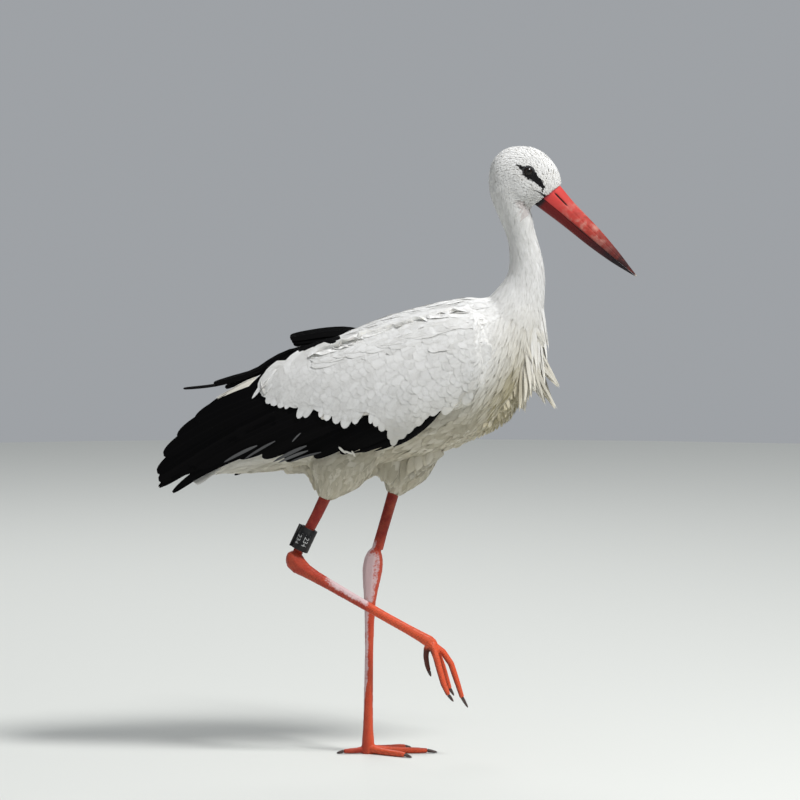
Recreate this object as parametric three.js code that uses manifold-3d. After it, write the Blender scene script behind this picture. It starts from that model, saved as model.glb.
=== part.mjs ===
// White stork, adult, walking: standing on the left foot with the right foot lifted.
// Millimetres. +X is the way the bird faces, +Y its left side, +Z up.
// The origin is on the sole of the standing foot, below the end of its tarsus.
import * as THREE from "three";
import { mergeVertices } from "three/addons/utils/BufferGeometryUtils.js";
import Module from "manifold-3d";

const wasm = await Module();
wasm.setup();

// ---------------------------------------------------------------- driving sizes
const GAP = 0.3; // clearance between neighbouring pieces
const CORNER_REACH = 2; // a corner moves this many times the clearance
const TINY_EDGE = 0.05; // edges under this length are closed up after a cut
const HEAD_CENTRE = [214, 797];
const HEAD_SLOPE = 35; // degrees that the face points below the horizontal
const BILL_BASE = [247.3, 776];
const BILL_LENGTH = 168;
const BILL_SLOPE = 42.4;
const EYE_RADIUS = 7;
const EYE_CENTRE = [220.4, 19.3, 810.5];
const TARSUS_HALF = 6.4;
const TOE_HALF = 4.7;
const RING_LENGTH = 33;
const RING_OUTER = 12.2;
const RING_INNER = 10.2;
const RING_LEAN = 25; // degrees, as the shank leans
const RING_CENTRE = [-87.5, -33.5, 303.5];
const VANE_THICKNESS = 2.2;

// ---------------------------------------------------------------- colours
const WHITE = { color: 0xeeebe2, roughness: 0.85, metalness: 0 };
const CREAM = { color: 0xe6e0cc, roughness: 0.9, metalness: 0 };
const BLACK = { color: 0x0c0b0e, roughness: 0.6, metalness: 0 };
const RED = { color: 0xc03a28, roughness: 0.45, metalness: 0 };
const LEG_RED = { color: 0xc4472f, roughness: 0.6, metalness: 0 };
const CLAW = { color: 0x2a1a18, roughness: 0.5, metalness: 0 };
const EYE = { color: 0x0a0605, roughness: 0.08, metalness: 0 };
const RING = { color: 0x111112, roughness: 0.4, metalness: 0 };

// ---------------------------------------------------------------- geometry helpers
const ACROSS = new THREE.Vector3(0, 1, 0);
const UP = new THREE.Vector3(0, 0, 1);

// One value of a smooth curve through four neighbouring values (Catmull-Rom).
function smooth(a, b, c, d, t) {
  const slopeIn = (c - a) / 2;
  const slopeOut = (d - b) / 2;
  const cubic = 2 * b - 2 * c + slopeIn + slopeOut;
  const square = -3 * b + 3 * c - 2 * slopeIn - slopeOut;
  return ((cubic * t + square) * t + slopeIn) * t + b;
}

// Rows of numbers smoothed into steps + 1 rows.
function smoothRows(rows, steps) {
  const last = rows.length - 1;
  return Array.from({ length: steps + 1 }, (_, i) => {
    const place = (i / steps) * last;
    const k = Math.min(Math.floor(place), last - 1);
    const near = [k - 1, k, k + 1, k + 2].map((n) => rows[THREE.MathUtils.clamp(n, 0, last)]);
    return rows[0].map((_, column) => smooth(...near.map((row) => row[column]), place - k));
  });
}

// The row of a table at one value of its first column.
function rowAt(rows, first) {
  const k = THREE.MathUtils.clamp(rows.findIndex((row) => row[0] >= first) - 1, 0, rows.length - 2);
  const t = THREE.MathUtils.clamp((first - rows[k][0]) / (rows[k + 1][0] - rows[k][0]), 0, 1);
  return rows[k].map((value, column) => THREE.MathUtils.lerp(value, rows[k + 1][column], t));
}

// A closed geometry from equal rings of points, each end closed by a fan to the ring's middle.
function closedRings(rings) {
  const count = rings[0].length;
  const middle = (ring) => ring.reduce((sum, p) => sum.add(p), new THREE.Vector3()).divideScalar(count);
  const points = [...rings.flat(), middle(rings[0]), middle(rings[rings.length - 1])];
  const faces = [];
  for (let i = 0; i < rings.length - 1; i += 1) {
    for (let j = 0; j < count; j += 1) {
      const a = i * count + j;
      const b = i * count + ((j + 1) % count);
      faces.push(a, b, b + count, a, b + count, a + count);
    }
  }
  const startIndex = rings.length * count;
  const lastRing = (rings.length - 1) * count;
  for (let j = 0; j < count; j += 1) {
    const next = (j + 1) % count;
    faces.push(startIndex, next, j);
    faces.push(startIndex + 1, lastRing + j, lastRing + next);
  }
  const geometry = new THREE.BufferGeometry();
  geometry.setAttribute("position", new THREE.Float32BufferAttribute(points.flatMap((p) => p.toArray()), 3));
  geometry.setIndex(faces);
  return geometry;
}

// A closed geometry as a solid, turned inside out if its faces point inwards.
function solidOf(geometry) {
  const plain = geometry.clone();
  plain.deleteAttribute("normal");
  plain.deleteAttribute("uv");
  const merged = mergeVertices(plain, 1e-4);
  const vertProperties = new Float32Array(merged.attributes.position.array);
  const triVerts = new Uint32Array(merged.index.array);
  const solid = new wasm.Manifold(new wasm.Mesh({ numProp: 3, vertProperties, triVerts }));
  if (solid.volume() > 0) return solid;
  const flipped = triVerts.map((_, i) => triVerts[i - (i % 3) + (2 - (i % 3))]);
  return new wasm.Manifold(new wasm.Mesh({ numProp: 3, vertProperties, triVerts: flipped }));
}

// A round-edged body along a path. Each row is x, y, z, half width, half height up, half height down.
function sweep(rows, { steps, sides, across = ACROSS, power = 2, floor = -Infinity }) {
  const stations = smoothRows(rows, steps);
  const centres = stations.map(([x, y, z]) => new THREE.Vector3(x, y, z));
  const rings = stations.map(([, , , wide, high, low], i) => {
    const before = centres[Math.max(i - 1, 0)];
    const after = centres[Math.min(i + 1, steps)];
    const along = after.clone().sub(before).normalize();
    const side = across.clone().addScaledVector(along, -across.dot(along)).normalize();
    const upward = along.clone().cross(side);
    return Array.from({ length: sides }, (_, j) => {
      const angle = (2 * Math.PI * j) / sides;
      const cos = Math.cos(angle);
      const sin = Math.sin(angle);
      const reach = Math.sign(cos) * Math.abs(cos) ** (2 / power) * wide;
      const rise = Math.sign(sin) * Math.abs(sin) ** (2 / power) * (sin > 0 ? high : low);
      const point = centres[i].clone().addScaledVector(side, reach).addScaledVector(upward, rise);
      point.z = Math.max(point.z, floor);
      return point;
    });
  });
  return solidOf(closedRings(rings));
}

// A sweep's row whose half heights up and down are alike.
const ROUND = ([x, y, z, wide, deep]) => [x, y, z, wide, deep, deep];

// A flat plate in the X-Z plane, given by its outline, as deep as the whole bird.
function sidePlate(outline) {
  const reach = 200;
  const shape = new THREE.Shape(outline.map(([x, z]) => new THREE.Vector2(x, z)));
  const geometry = new THREE.ExtrudeGeometry(shape, { depth: 2 * reach, bevelEnabled: false });
  geometry.rotateX(Math.PI / 2).translate(0, reach, 0);
  return solidOf(geometry);
}

function geometryOf(solid) {
  const { vertProperties, triVerts } = solid.getMesh();
  const geometry = new THREE.BufferGeometry();
  geometry.setAttribute("position", new THREE.BufferAttribute(vertProperties, 3));
  geometry.setIndex(new THREE.BufferAttribute(triVerts, 1));
  return geometry;
}

// What cuts a solid's neighbours with the clearance: it with every corner moved outwards, and itself.
function cutter(solid) {
  const geometry = mergeVertices(geometryOf(solid));
  geometry.computeVertexNormals();
  const { position, normal } = geometry.attributes;
  const corner = new THREE.Vector3();
  const outward = new THREE.Vector3();
  for (let i = 0; i < position.count; i += 1) {
    outward.fromBufferAttribute(normal, i);
    corner.fromBufferAttribute(position, i).addScaledVector(outward, GAP * CORNER_REACH);
    position.setXYZ(i, corner.x, corner.y, corner.z);
  }
  return [solidOf(geometry), solid];
}

const join = (solids) => solids.reduce((whole, solid) => whole.add(solid));
const without = (solid, cutters) => cutters.flat().reduce((left, cut) => left.subtract(cut), solid);

// The biggest piece that a cut leaves, with the cut's tiny edges closed up, so that a node is one body.
function tidied(solid) {
  const pieces = solid.simplify(TINY_EDGE).decompose();
  return pieces.reduce((best, piece) => (piece.volume() > best.volume() ? piece : best));
}

const stork = new THREE.Group();

// Adds one piece to the stork, and gives back what cuts its neighbours.
function addPart(name, solid, look) {
  const whole = tidied(solid);
  const mesh = new THREE.Mesh(geometryOf(whole), new THREE.MeshStandardMaterial(look));
  mesh.name = name;
  stork.add(mesh);
  return cutter(whole);
}

// A point on a sloping line in the X-Z plane: a distance along it and a height over it.
function onSlope([x, z], slope, along, over = 0) {
  const angle = THREE.MathUtils.degToRad(-slope);
  return [
    x + along * Math.cos(angle) - over * Math.sin(angle),
    z + along * Math.sin(angle) + over * Math.cos(angle),
  ];
}

// ---------------------------------------------------------------- trunk, neck and head
// x, middle height, half height, half width
const TRUNK = [
  [-238, 400, 16, 15],
  [-208, 430, 46, 34],
  [-165, 450, 60, 49],
  [-110, 468, 72, 61],
  [-40, 485, 89, 69],
  [40, 507, 101, 72],
  [110, 531, 98, 69],
  [165, 555, 86, 61],
  [203, 567, 62, 47],
  [234, 568, 24, 20],
];
const trunkForm = () =>
  sweep(TRUNK.map(([x, z, deep, wide]) => [x, 0, z, wide, deep, deep]), { steps: 14, sides: 18 });

// x, height, half depth, half width, from inside the head down into the breast
const NECK = [
  [190, 790, 25, 23],
  [199, 760, 23.5, 20.5],
  [207, 737, 21, 18.5],
  [212.5, 717, 19.8, 18],
  [216.5, 697, 21.6, 19],
  [218.7, 676, 24.3, 21],
  [217.5, 657, 27.5, 24],
  [211, 637, 34, 29],
  [201, 610, 45, 39],
  [187, 578, 56, 50],
  [168, 548, 60, 55],
];
const neckForm = () =>
  sweep(NECK.map(([x, z, deep, wide]) => [x, 0, z, wide, deep, deep]), { steps: 14, sides: 14 });

// distance along the face's slope from the head's centre, half heights, half width
const HEAD = [
  [-49.5, 5, 5, 4],
  [-46, 19, 14, 13],
  [-36, 32, 32, 19.5],
  [-18, 44, 45, 24.5],
  [0, 47.6, 45, 25.2],
  [16, 45.2, 36, 23.6],
  [31, 39.5, 22, 20],
  [42, 31, 17, 16.5],
  [49, 22, 13, 14],
];
const headForm = () => {
  const rows = HEAD.map(([along, high, low, wide]) => {
    const [x, z] = onSlope(HEAD_CENTRE, HEAD_SLOPE, along);
    return [x, 0, z, wide, high, low];
  });
  return sweep(rows, { steps: 16, sides: 14 });
};

// Cuts across the flesh: a point of the X-Z plane and the unit direction of what is kept above it.
const cutPlane = ([x, z], slope) => {
  const angle = THREE.MathUtils.degToRad(slope);
  const normal = [Math.cos(angle), 0, Math.sin(angle)];
  return { normal, offset: normal[0] * x + normal[2] * z };
};
const THROAT_CUT = cutPlane([202, 757], 96);
const NECK_CUT = cutPlane([217, 690], 88);
const BREAST_CUT = cutPlane([208, 626], 62);
const FACE_CUT = cutPlane([247.2, 776], -53.4);
const above = (solid, plane) => solid.trimByPlane(plane.normal, plane.offset + GAP / 2);
const below = (solid, plane) => solid.trimByPlane(plane.normal.map((n) => -n), -plane.offset + GAP / 2);

// ---------------------------------------------------------------- bill
// share of the length, half heights over and under the middle line, half width
const BILL = [
  [-0.1, 23, 22.5, 14.4],
  [0.02, 21.4, 20.5, 13.4],
  [0.18, 17.6, 17.8, 11.4],
  [0.31, 16, 16, 10.2],
  [0.52, 13.4, 13.6, 8.3],
  [0.74, 8.5, 9.3, 5.9],
  [0.9, 3.6, 4.2, 3.3],
  [0.985, 1, 1, 1.1],
];
const billForm = () => {
  const rows = BILL.map(([share, high, low, wide]) => {
    const [x, z] = onSlope(BILL_BASE, BILL_SLOPE, share * BILL_LENGTH);
    return [x, 0, z, wide, high, low];
  });
  return sweep(rows, { steps: 10, sides: 14, power: 1.9 });
};
// The line between the mandibles: share of the length, height over the bill's middle line.
const GAPE = [[-0.2, -7], [0, -6.6], [0.18, -5.2], [0.4, -5], [0.6, -3.2], [1.05, 0.2]];
const gapePlate = (shift, far) => {
  const line = GAPE.map(([share, over]) => onSlope(BILL_BASE, BILL_SLOPE, share * BILL_LENGTH, over + shift));
  const back = onSlope(BILL_BASE, BILL_SLOPE, 1.05 * BILL_LENGTH, far);
  const front = onSlope(BILL_BASE, BILL_SLOPE, -0.2 * BILL_LENGTH, far);
  return sidePlate([...line, back, front]);
};

// ---------------------------------------------------------------- eyes
const eyeForm = (side) => {
  const [x, y, z] = EYE_CENTRE;
  const ball = new THREE.SphereGeometry(EYE_RADIUS, 10, 6).translate(x, side * y, z);
  return solidOf(ball);
};

// ---------------------------------------------------------------- wings
// The folded wing's outer face. x, height of its widest line, half width, reach over and under that line.
const FLANK = [
  [-300, 385, 24, 70, 60],
  [-240, 415, 39, 90, 70],
  [-180, 440, 59, 110, 75],
  [-120, 460, 76, 118, 85],
  [-60, 472, 86, 125, 90],
  [0, 482, 91, 128, 92],
  [60, 500, 90, 125, 95],
  [110, 525, 82, 110, 90],
  [165, 560, 64, 72, 74],
];
const flankAt = (x, z) => {
  const [, middle, wide, over, under] = rowAt(FLANK, x);
  const share = Math.min(Math.abs(z - middle) / (z > middle ? over : under), 0.94);
  return wide * Math.sqrt(1 - share ** 2.2);
};
// The left wing is carried a little lower at its tip. x, rise
const LEFT_LIFT = [[-300, -7], [-225, -7], [-175, 0], [150, 0]];
const wingLift = (side, x) => (side > 0 ? rowAt(LEFT_LIFT, x)[1] : 0);

// One feather vane lying on the wing's outer face: root, bend and tip as [x, z] in side view.
function vane({ side, root, bend, tip, wide, out }) {
  const shares = [0, 0.35, 0.65, 0.88, 1];
  const line = new THREE.QuadraticBezierCurve(...[root, bend, tip].map(([x, z]) => new THREE.Vector2(x, z)));
  const rings = shares.map((share) => {
    const middle = line.getPoint(share);
    const along = line.getTangent(share);
    const normal = new THREE.Vector2(-along.y, along.x);
    const rounded = Math.sqrt(1 - Math.max(0, (share - 0.6) / 0.42) ** 2.4);
    const half = wide * rounded * (0.7 + 0.3 * Math.min(1, share * 2.5));
    const at = (across, outward) => {
      const flat = middle.clone().addScaledVector(normal, across * half);
      const y = flankAt(flat.x, flat.y) + outward;
      return new THREE.Vector3(flat.x, side * y, flat.y + wingLift(side, flat.x));
    };
    const edge = out - VANE_THICKNESS / 2;
    return [at(-1, edge), at(0, out), at(1, edge), at(0, out - VANE_THICKNESS)];
  });
  return solidOf(closedRings(rings));
}

// A shell over the wing's outer face between a low and a high edge.
// Each station is x, lowest and highest height; rise and depth are measured from the outer face.
function wingShell(side, stations, { rise, depth }) {
  const rings = stations.map(([x, low, high]) => {
    const at = (share, out) => {
      const z = THREE.MathUtils.lerp(low, high, share);
      return new THREE.Vector3(x, side * Math.max(flankAt(x, z) + out, 2), z + wingLift(side, x));
    };
    const outer = [0.16, 0.4, 0.65, 0.85].map((share) => at(share, rise));
    const inner = [0.85, 0.4].map((share) => at(share, -depth));
    return [at(0, rise / 2), ...outer, at(1, rise / 2), ...inner];
  });
  return solidOf(closedRings(rings));
}

// The white part: scapulars and coverts, from the spine down to a ragged border on the black.
// x, lowest height before the raggedness, highest height
const COVERTS = [
  [-148, 508, 520],
  [-128, 498, 538],
  [-95, 484, 556],
  [-50, 474, 574],
  [0, 474, 592],
  [55, 474, 608],
  [100, 480, 620],
  [135, 492, 624],
  [157, 508, 612],
  [170, 545, 585],
];
// The ragged border where the longest white coverts end. x, drop below the lowest height
const COVERT_TIPS = [
  [-146, -2], [-140, 6], [-128, 0], [-118, 9], [-104, -4], [-92, 9], [-76, -8], [-62, 8], [-46, 2],
  [-30, 8], [-16, 0], [-6, 5], [6, -2], [16, 12], [30, 27], [44, 22], [60, 10], [85, 2],
  [110, 0], [135, 0], [155, 0], [168, 0],
];
const covertForm = (side) => {
  const stations = COVERT_TIPS.map(([x, drop]) => {
    const [, lowest, highest] = rowAt(COVERTS, x);
    const [, middle, , over] = rowAt(FLANK, x);
    return [x, lowest - drop, Math.min(highest, middle + over * 0.93)];
  });
  return wingShell(side, stations, { rise: 3.2, depth: 11 });
};

// Black secondaries, whose blunt tips step along the lower edge. x, lowest and highest height
const SECONDARIES = [
  [-292, 386, 398],
  [-286, 379, 420],
  [-276, 384, 436],
  [-265, 388, 449],
  [-240, 392, 473],
  [-234, 396, 478],
  [-210, 404, 498],
  [-182, 410, 506],
  [-176, 415, 506],
  [-145, 413, 506],
  [-115, 411, 500],
  [-108, 417, 500],
  [-75, 420, 496],
  [-40, 422, 490],
  [-33, 426, 490],
  [0, 426, 484],
  [30, 432, 470],
  [55, 446, 474],
  [72, 461, 480],
  [86, 478, 484],
];
const secondaryForm = (side) => wingShell(side, SECONDARIES, { rise: 1.2, depth: 1.8 });

// Black primaries, folded under the secondaries with their tips showing. root, bend, tip, half width
const PRIMARIES = [
  [[82, 472], [-180, 440], [-289, 373], 8],
  [[80, 466], [-185, 443], [-270, 367], 7],
];
const primaryForm = (side) =>
  join(PRIMARIES.map(([root, bend, tip, wide], i) =>
    vane({ side, root, bend, tip, wide, out: -1.2 - 0.3 * (i % 2) })));

// The long inner feathers beside the spine. The left ones stand up with square ends over the back.
// x, y, z, half width, half thickness
const TERTIALS = {
  left: [
    [[-15, 38, 584, 5, 4], [-50, 38, 580, 14, 7], [-85, 39, 574, 18, 8], [-109, 39, 572, 17, 6]],
    [[-35, 42, 568, 8, 9], [-90, 46, 560, 16, 10], [-140, 48, 541, 17, 6], [-175, 47, 521, 15, 4.5], [-211, 46, 509, 9, 3.5]],
    [[-165, 44, 525, 4, 2], [-212, 44, 508, 3.5, 1.6], [-257, 42, 503, 1.5, 1]],
  ],
  right: [
    [[-40, -46, 560, 8, 4], [-90, -47, 548, 15, 5], [-140, -47, 524, 17, 5], [-178, -43, 498, 13, 4.5], [-214, -39, 470, 6, 3.5]],
  ],
};
const tertialForm = (side) => join(TERTIALS[side].map((rows) => sweep(rows.map(ROUND), { steps: 5, sides: 6 })));

// ---------------------------------------------------------------- breast plumes
// Down the front of the breast and back under it: x, z, half width, half depth outwards and inwards
const PLUMES = [
  [237, 618, 12, 4, 6],
  [233, 590, 32, 13, 16],
  [228, 555, 41, 19, 24],
  [220, 522, 42, 22, 30],
  [202, 494, 39, 21, 26],
  [172, 469, 35, 17, 20],
  [137, 449, 30, 13, 16],
  [108, 436, 18, 6, 10],
];
// Tips of the hanging locks: root x and z, tip x, y and z, half width
const LOCKS = [
  [230, 548, 263, -10, 513, 10],
  [232, 525, 259, 7, 481, 11],
  [218, 522, 215, -6, 476, 13],
  [190, 505, 185, 12, 470, 14],
  [190, 495, 175, -12, 461, 14],
  [165, 480, 150, 4, 449, 15],
  [140, 465, 121, -14, 432, 14],
  [118, 450, 99, 10, 384, 12],
];
const lockForm = ([x, z, tipX, tipY, tipZ, half]) => {
  const rows = [
    [x, tipY, z, half, half, half],
    [(x + tipX) / 2 + 4, tipY, (z + tipZ) / 2, half * 0.8, half * 0.6, half * 0.6],
    [tipX, tipY, tipZ, 1.2, 0.8, 0.8],
  ];
  return sweep(rows, { steps: 3, sides: 5 });
};
const plumeForm = () =>
  join([
    sweep(PLUMES.map(([x, z, wide, out, inward]) => [x, 0, z, wide, out, inward]), { steps: 8, sides: 10 }),
    ...LOCKS.map(lockForm),
  ]);

// ---------------------------------------------------------------- tail
// x, z, half width, half thickness
const TAIL = [
  [-120, 478, 34, 24],
  [-165, 458, 38, 20],
  [-205, 430, 36, 14],
  [-245, 404, 29, 8],
  [-268, 391, 22, 4],
  [-274, 388, 16, 2],
];
const tailForm = () =>
  sweep(TAIL.map(([x, z, wide, half]) => [x, 0, z, wide, half, half]), { steps: 6, sides: 12 });

// ---------------------------------------------------------------- legs
// Feathered thigh, bare shank and tarsus with the ankle's knob. x, y, z, half width, half depth
const THIGH = {
  right: [[-8, -34, 470, 28, 50], [-32, -35, 425, 29, 48], [-46, -36, 393, 25, 38], [-54, -36, 376, 17, 22],
    [-59, -35, 362, 9, 10]],
  left: [[62, 34, 470, 28, 50], [55, 35, 425, 29, 46], [47, 36, 391, 25, 36], [40, 36, 374, 16, 20],
    [35, 35, 360, 9, 10]],
};
const SHANK = {
  right: [[-50, -36, 385, 7.4, 8.4], [-61, -35, 356, 7, 8.2], [-81, -34, 317, 6.4, 7.2], [-96, -33, 288, 6.8, 7.4]],
  left: [[42, 36, 385, 7.6, 8.4], [33, 34, 352, 7.2, 8], [22, 29, 315, 6.6, 7.4], [13, 25, 283, 7, 8]],
};
const TARSUS = {
  right: [[-106, -33, 286, 5, 5], [-103, -33, 279, 10, 11.5], [-98, -33, 269, 10.5, 13], [-82, -32.5, 257, 8, 9],
    [-50, -31.5, 238, TARSUS_HALF, 7.4], [20, -29, 197, 5.8, TARSUS_HALF], [66, -28, 171, 6, 7],
    [86, -27, 159, 7.5, 8.5], [91, -27, 154, 5, 6]],
  left: [[11, 24, 283, 5.5, 6], [8.5, 23, 273, 9.5, 12], [6, 21, 254, 10.5, 14], [4, 18.5, 232, 8.6, 11],
    [2.3, 15.5, 204, TARSUS_HALF, 7.6], [1.6, 10, 150, 5.6, 5.8], [0.6, 4.5, 90, 5.8, 6.2],
    [0, 1, 40, 6, 6.8], [0, 0, 14, 8, 8.8], [0, 0, 0, 8.4, 9]],
};
const thighForm = (side) => sweep(THIGH[side].map(ROUND), { steps: 6, sides: 12 });
const shankForm = (side) => sweep(SHANK[side].map(ROUND), { steps: 4, sides: 10 });
const tarsusForm = (side) => sweep(TARSUS[side].map(ROUND), { steps: 14, sides: 8, floor: 0 });

// ---------------------------------------------------------------- toes and claws
// Each toe is a path from inside the foot joint to where its claw starts, then the claw's tip.
const SOLE = 4.2; // height of a toe's middle line over its flat sole
const spreadToe = (turn, length, clawLength) => {
  const angle = THREE.MathUtils.degToRad(turn);
  const at = (distance, z) => [distance * Math.cos(angle), distance * Math.sin(angle), z];
  return {
    path: [at(1, SOLE + 3), at(length * 0.35, SOLE + 0.8), at(length * 0.7, SOLE), at(length, SOLE - 0.4)],
    tip: at(length + clawLength, 1.4),
  };
};
const TOES = {
  left: {
    middle: spreadToe(2, 82, 14),
    inner: spreadToe(-37, 64, 12),
    outer: spreadToe(40, 66, 12),
    hind: spreadToe(188, 34, 10),
  },
  right: {
    middle: { path: [[86, -27, 158], [109, -27, 140], [119, -27, 116], [130, -27, 82]], tip: [138, -27, 68] },
    outer: { path: [[88, -31, 156], [96, -38, 134], [102, -42, 109], [111, -45, 88]], tip: [118, -46, 79] },
    inner: { path: [[88, -23, 156], [99, -16, 136], [106, -12, 113], [113, -9, 92]], tip: [119, -8, 82] },
    hind: { path: [[84, -24, 157], [80, -20, 145], [81, -18, 130], [84, -17, 118]], tip: [87, -17, 110] },
  },
};
const toeForm = (side, toe) => {
  const halves = toe === "hind" ? [5, 4.2, 3.8, 3.1] : [6, TOE_HALF, TOE_HALF, 3.4];
  const rows = TOES[side][toe].path.map((place, i) => ROUND([...place, halves[i], halves[i]]));
  return sweep(rows, { steps: 4, sides: 6, across: side === "left" ? UP : ACROSS, floor: 0 });
};
const clawForm = (side, toe) => {
  const { path, tip } = TOES[side][toe];
  const end = new THREE.Vector3(...path[3]);
  const point = new THREE.Vector3(...tip);
  const at = (share) => end.clone().lerp(point, share).toArray();
  const rows = [[...at(-0.2), 3.4, 2.6], [...at(0.3), 3.1, 2.5], [...at(0.75), 2.1, 1.8], [...at(1), 0.8, 0.7]];
  const across = side === "left" ? UP : ACROSS;
  const turned = side === "left" ? rows.map(([x, y, z, wide, deep]) => [x, y, z, deep, wide]) : rows;
  return sweep(turned.map(ROUND), { steps: 3, sides: 5, across, floor: 0 });
};

// ---------------------------------------------------------------- ring on the right shank
const ringForm = () => {
  const half = RING_LENGTH / 2;
  const wall = [
    [RING_INNER, -half],
    [RING_OUTER, -half],
    [RING_OUTER, half],
    [RING_INNER, half],
    [RING_INNER, -half],
  ].map(([radius, height]) => new THREE.Vector2(radius, height));
  const tube = solidOf(new THREE.LatheGeometry(wall, 14).rotateX(Math.PI / 2));
  const lap = new THREE.BoxGeometry(4.6, 2.4, RING_LENGTH).translate(-RING_OUTER - 1.2, 0, 0);
  return tube
    .add(solidOf(lap))
    .rotate([0, RING_LEAN, 0])
    .translate(RING_CENTRE);
};

// ---------------------------------------------------------------- the parts
const body = tidied(join([trunkForm(), neckForm(), below(headForm(), FACE_CUT)]));
const eyes = [
  addPart("eye_left", eyeForm(1), EYE),
  addPart("eye_right", eyeForm(-1), EYE),
];
addPart("head", without(above(body, THROAT_CUT), eyes), WHITE);
addPart("neck_upper", above(below(body, THROAT_CUT), NECK_CUT), WHITE);
addPart("neck_lower", above(below(body, NECK_CUT), BREAST_CUT), WHITE);
addPart("trunk", below(body, BREAST_CUT), CREAM);
const bodyCutters = [cutter(trunkForm()), cutter(neckForm())];

const bill = above(billForm(), FACE_CUT);
addPart("bill_upper", bill.subtract(gapePlate(GAP / 2, -60)), RED);
addPart("bill_lower", bill.subtract(gapePlate(-GAP / 2, 60)), RED);

addPart("breast_plumes", without(plumeForm(), bodyCutters), CREAM);

const wings = [];
for (const [name, side] of Object.entries({ left: 1, right: -1 })) {
  const coverts = addPart(`wing_${name}_coverts`, without(covertForm(side), bodyCutters), WHITE);
  const over = [...bodyCutters, coverts];
  const secondaries = addPart(`wing_${name}_secondaries`, without(secondaryForm(side), over), BLACK);
  over.push(secondaries);
  const primaries = addPart(`wing_${name}_primaries`, without(primaryForm(side), over), BLACK);
  const tertials = addPart(`wing_${name}_tertials`, without(tertialForm(name), over), BLACK);
  wings.push(secondaries, primaries, tertials);
}
addPart("tail", without(tailForm(), [...bodyCutters, ...wings]), WHITE);

for (const side of ["left", "right"]) {
  const thigh = addPart(`thigh_${side}`, without(thighForm(side), [...bodyCutters, ...wings]), WHITE);
  const tarsus = addPart(`tarsus_${side}`, tarsusForm(side), LEG_RED);
  addPart(`shank_${side}`, without(shankForm(side), [...bodyCutters, thigh, tarsus]), LEG_RED);
  const toes = [tarsus];
  for (const toe of ["middle", "outer", "inner", "hind"]) {
    toes.push(addPart(`toe_${side}_${toe}`, without(toeForm(side, toe), toes), LEG_RED));
    addPart(`claw_${side}_${toe}`, without(clawForm(side, toe), toes), CLAW);
  }
}
addPart("leg_ring", ringForm(), RING);

export default stork;
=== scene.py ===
# %% [markdown]
# # A white stork in three steps: a frame, a skin, and a coat of feathers
# The imported model is the frame: plain solids of every part of the bird, in metres, with +X the way that it
# faces and +Z up. Everything made below sits on it, so each length is either read from a solid or is one of
# the few sizes named here.

# %% Load the frame
import itertools
import math

import bmesh
import bpy
import numpy as np
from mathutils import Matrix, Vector
from mathutils.bvhtree import BVHTree


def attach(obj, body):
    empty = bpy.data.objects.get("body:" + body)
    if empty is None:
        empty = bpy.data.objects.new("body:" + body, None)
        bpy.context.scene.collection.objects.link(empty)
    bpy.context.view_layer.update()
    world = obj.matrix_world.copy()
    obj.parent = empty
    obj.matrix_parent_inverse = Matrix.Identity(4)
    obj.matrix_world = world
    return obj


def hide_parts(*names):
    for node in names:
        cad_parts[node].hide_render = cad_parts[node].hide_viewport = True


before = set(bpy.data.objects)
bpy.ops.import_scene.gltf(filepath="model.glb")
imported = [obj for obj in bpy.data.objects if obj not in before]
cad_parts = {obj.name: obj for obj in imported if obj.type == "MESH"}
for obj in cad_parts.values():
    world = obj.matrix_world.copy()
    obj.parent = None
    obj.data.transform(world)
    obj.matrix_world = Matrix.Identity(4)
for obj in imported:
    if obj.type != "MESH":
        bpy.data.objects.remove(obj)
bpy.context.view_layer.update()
MM = 0.001
print("nodes in the frame:", len(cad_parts))

# %% [markdown]
# ## Where the viewer stands
# The bird is seen square from its right side, a little from above, through a long lens from far off, which
# is how animals are pictured without frightening them. A long lens keeps near and far parts in proportion.
# The lens follows from the width that the picture should take in at the bird's distance.

# %% Camera
VIEW_RISE = math.radians(6)
VIEW_DISTANCE = 12.0
VIEW_WIDTH = 1.104
VIEW_CENTRE = Vector((0.0442, 0.0, 0.4926))

camera_data = bpy.data.cameras.new("camera")
camera_data.sensor_width = 36
camera_data.lens = camera_data.sensor_width * VIEW_DISTANCE / VIEW_WIDTH
camera_data.clip_end = 60
camera = bpy.data.objects.new("camera", camera_data)
bpy.context.scene.collection.objects.link(camera)
backwards = Vector((0, -math.cos(VIEW_RISE), math.sin(VIEW_RISE)))
camera.location = VIEW_CENTRE + VIEW_DISTANCE * backwards
camera.rotation_euler = backwards.to_track_quat("Z", "Y").to_euler()
bpy.context.scene.camera = camera
print("lens:", round(camera_data.lens), "mm")

# %% [markdown]
# ## Studio
# White feathers need soft light with a clear direction, or their layers vanish. One big lamp stands high on
# the right and in front of the bird, as the sun does on a summer afternoon, a weak one fills the shaded
# side, and a pale room lights the rest. The floor is a plain disc.

# %% Floor, lamps and room
def add_lamp(name, place, aim, power, size):
    """A square lamp at one point, turned towards another."""
    data = bpy.data.lights.new(name, "AREA")
    data.energy = power
    data.size = size
    lamp = bpy.data.objects.new(name, data)
    lamp.location = place
    lamp.rotation_euler = (Vector(place) - Vector(aim)).to_track_quat("Z", "Y").to_euler()
    bpy.context.scene.collection.objects.link(lamp)


BIRD_MIDDLE = (0, 0, 0.5)
add_lamp("sun", (1.8, -1.4, 3.8), BIRD_MIDDLE, 185, 1.0)
add_lamp("fill", (-2.2, -3.0, 1.5), BIRD_MIDDLE, 9, 2.2)
add_lamp("rim", (-0.6, 2.6, 2.4), BIRD_MIDDLE, 30, 1.5)

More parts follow.
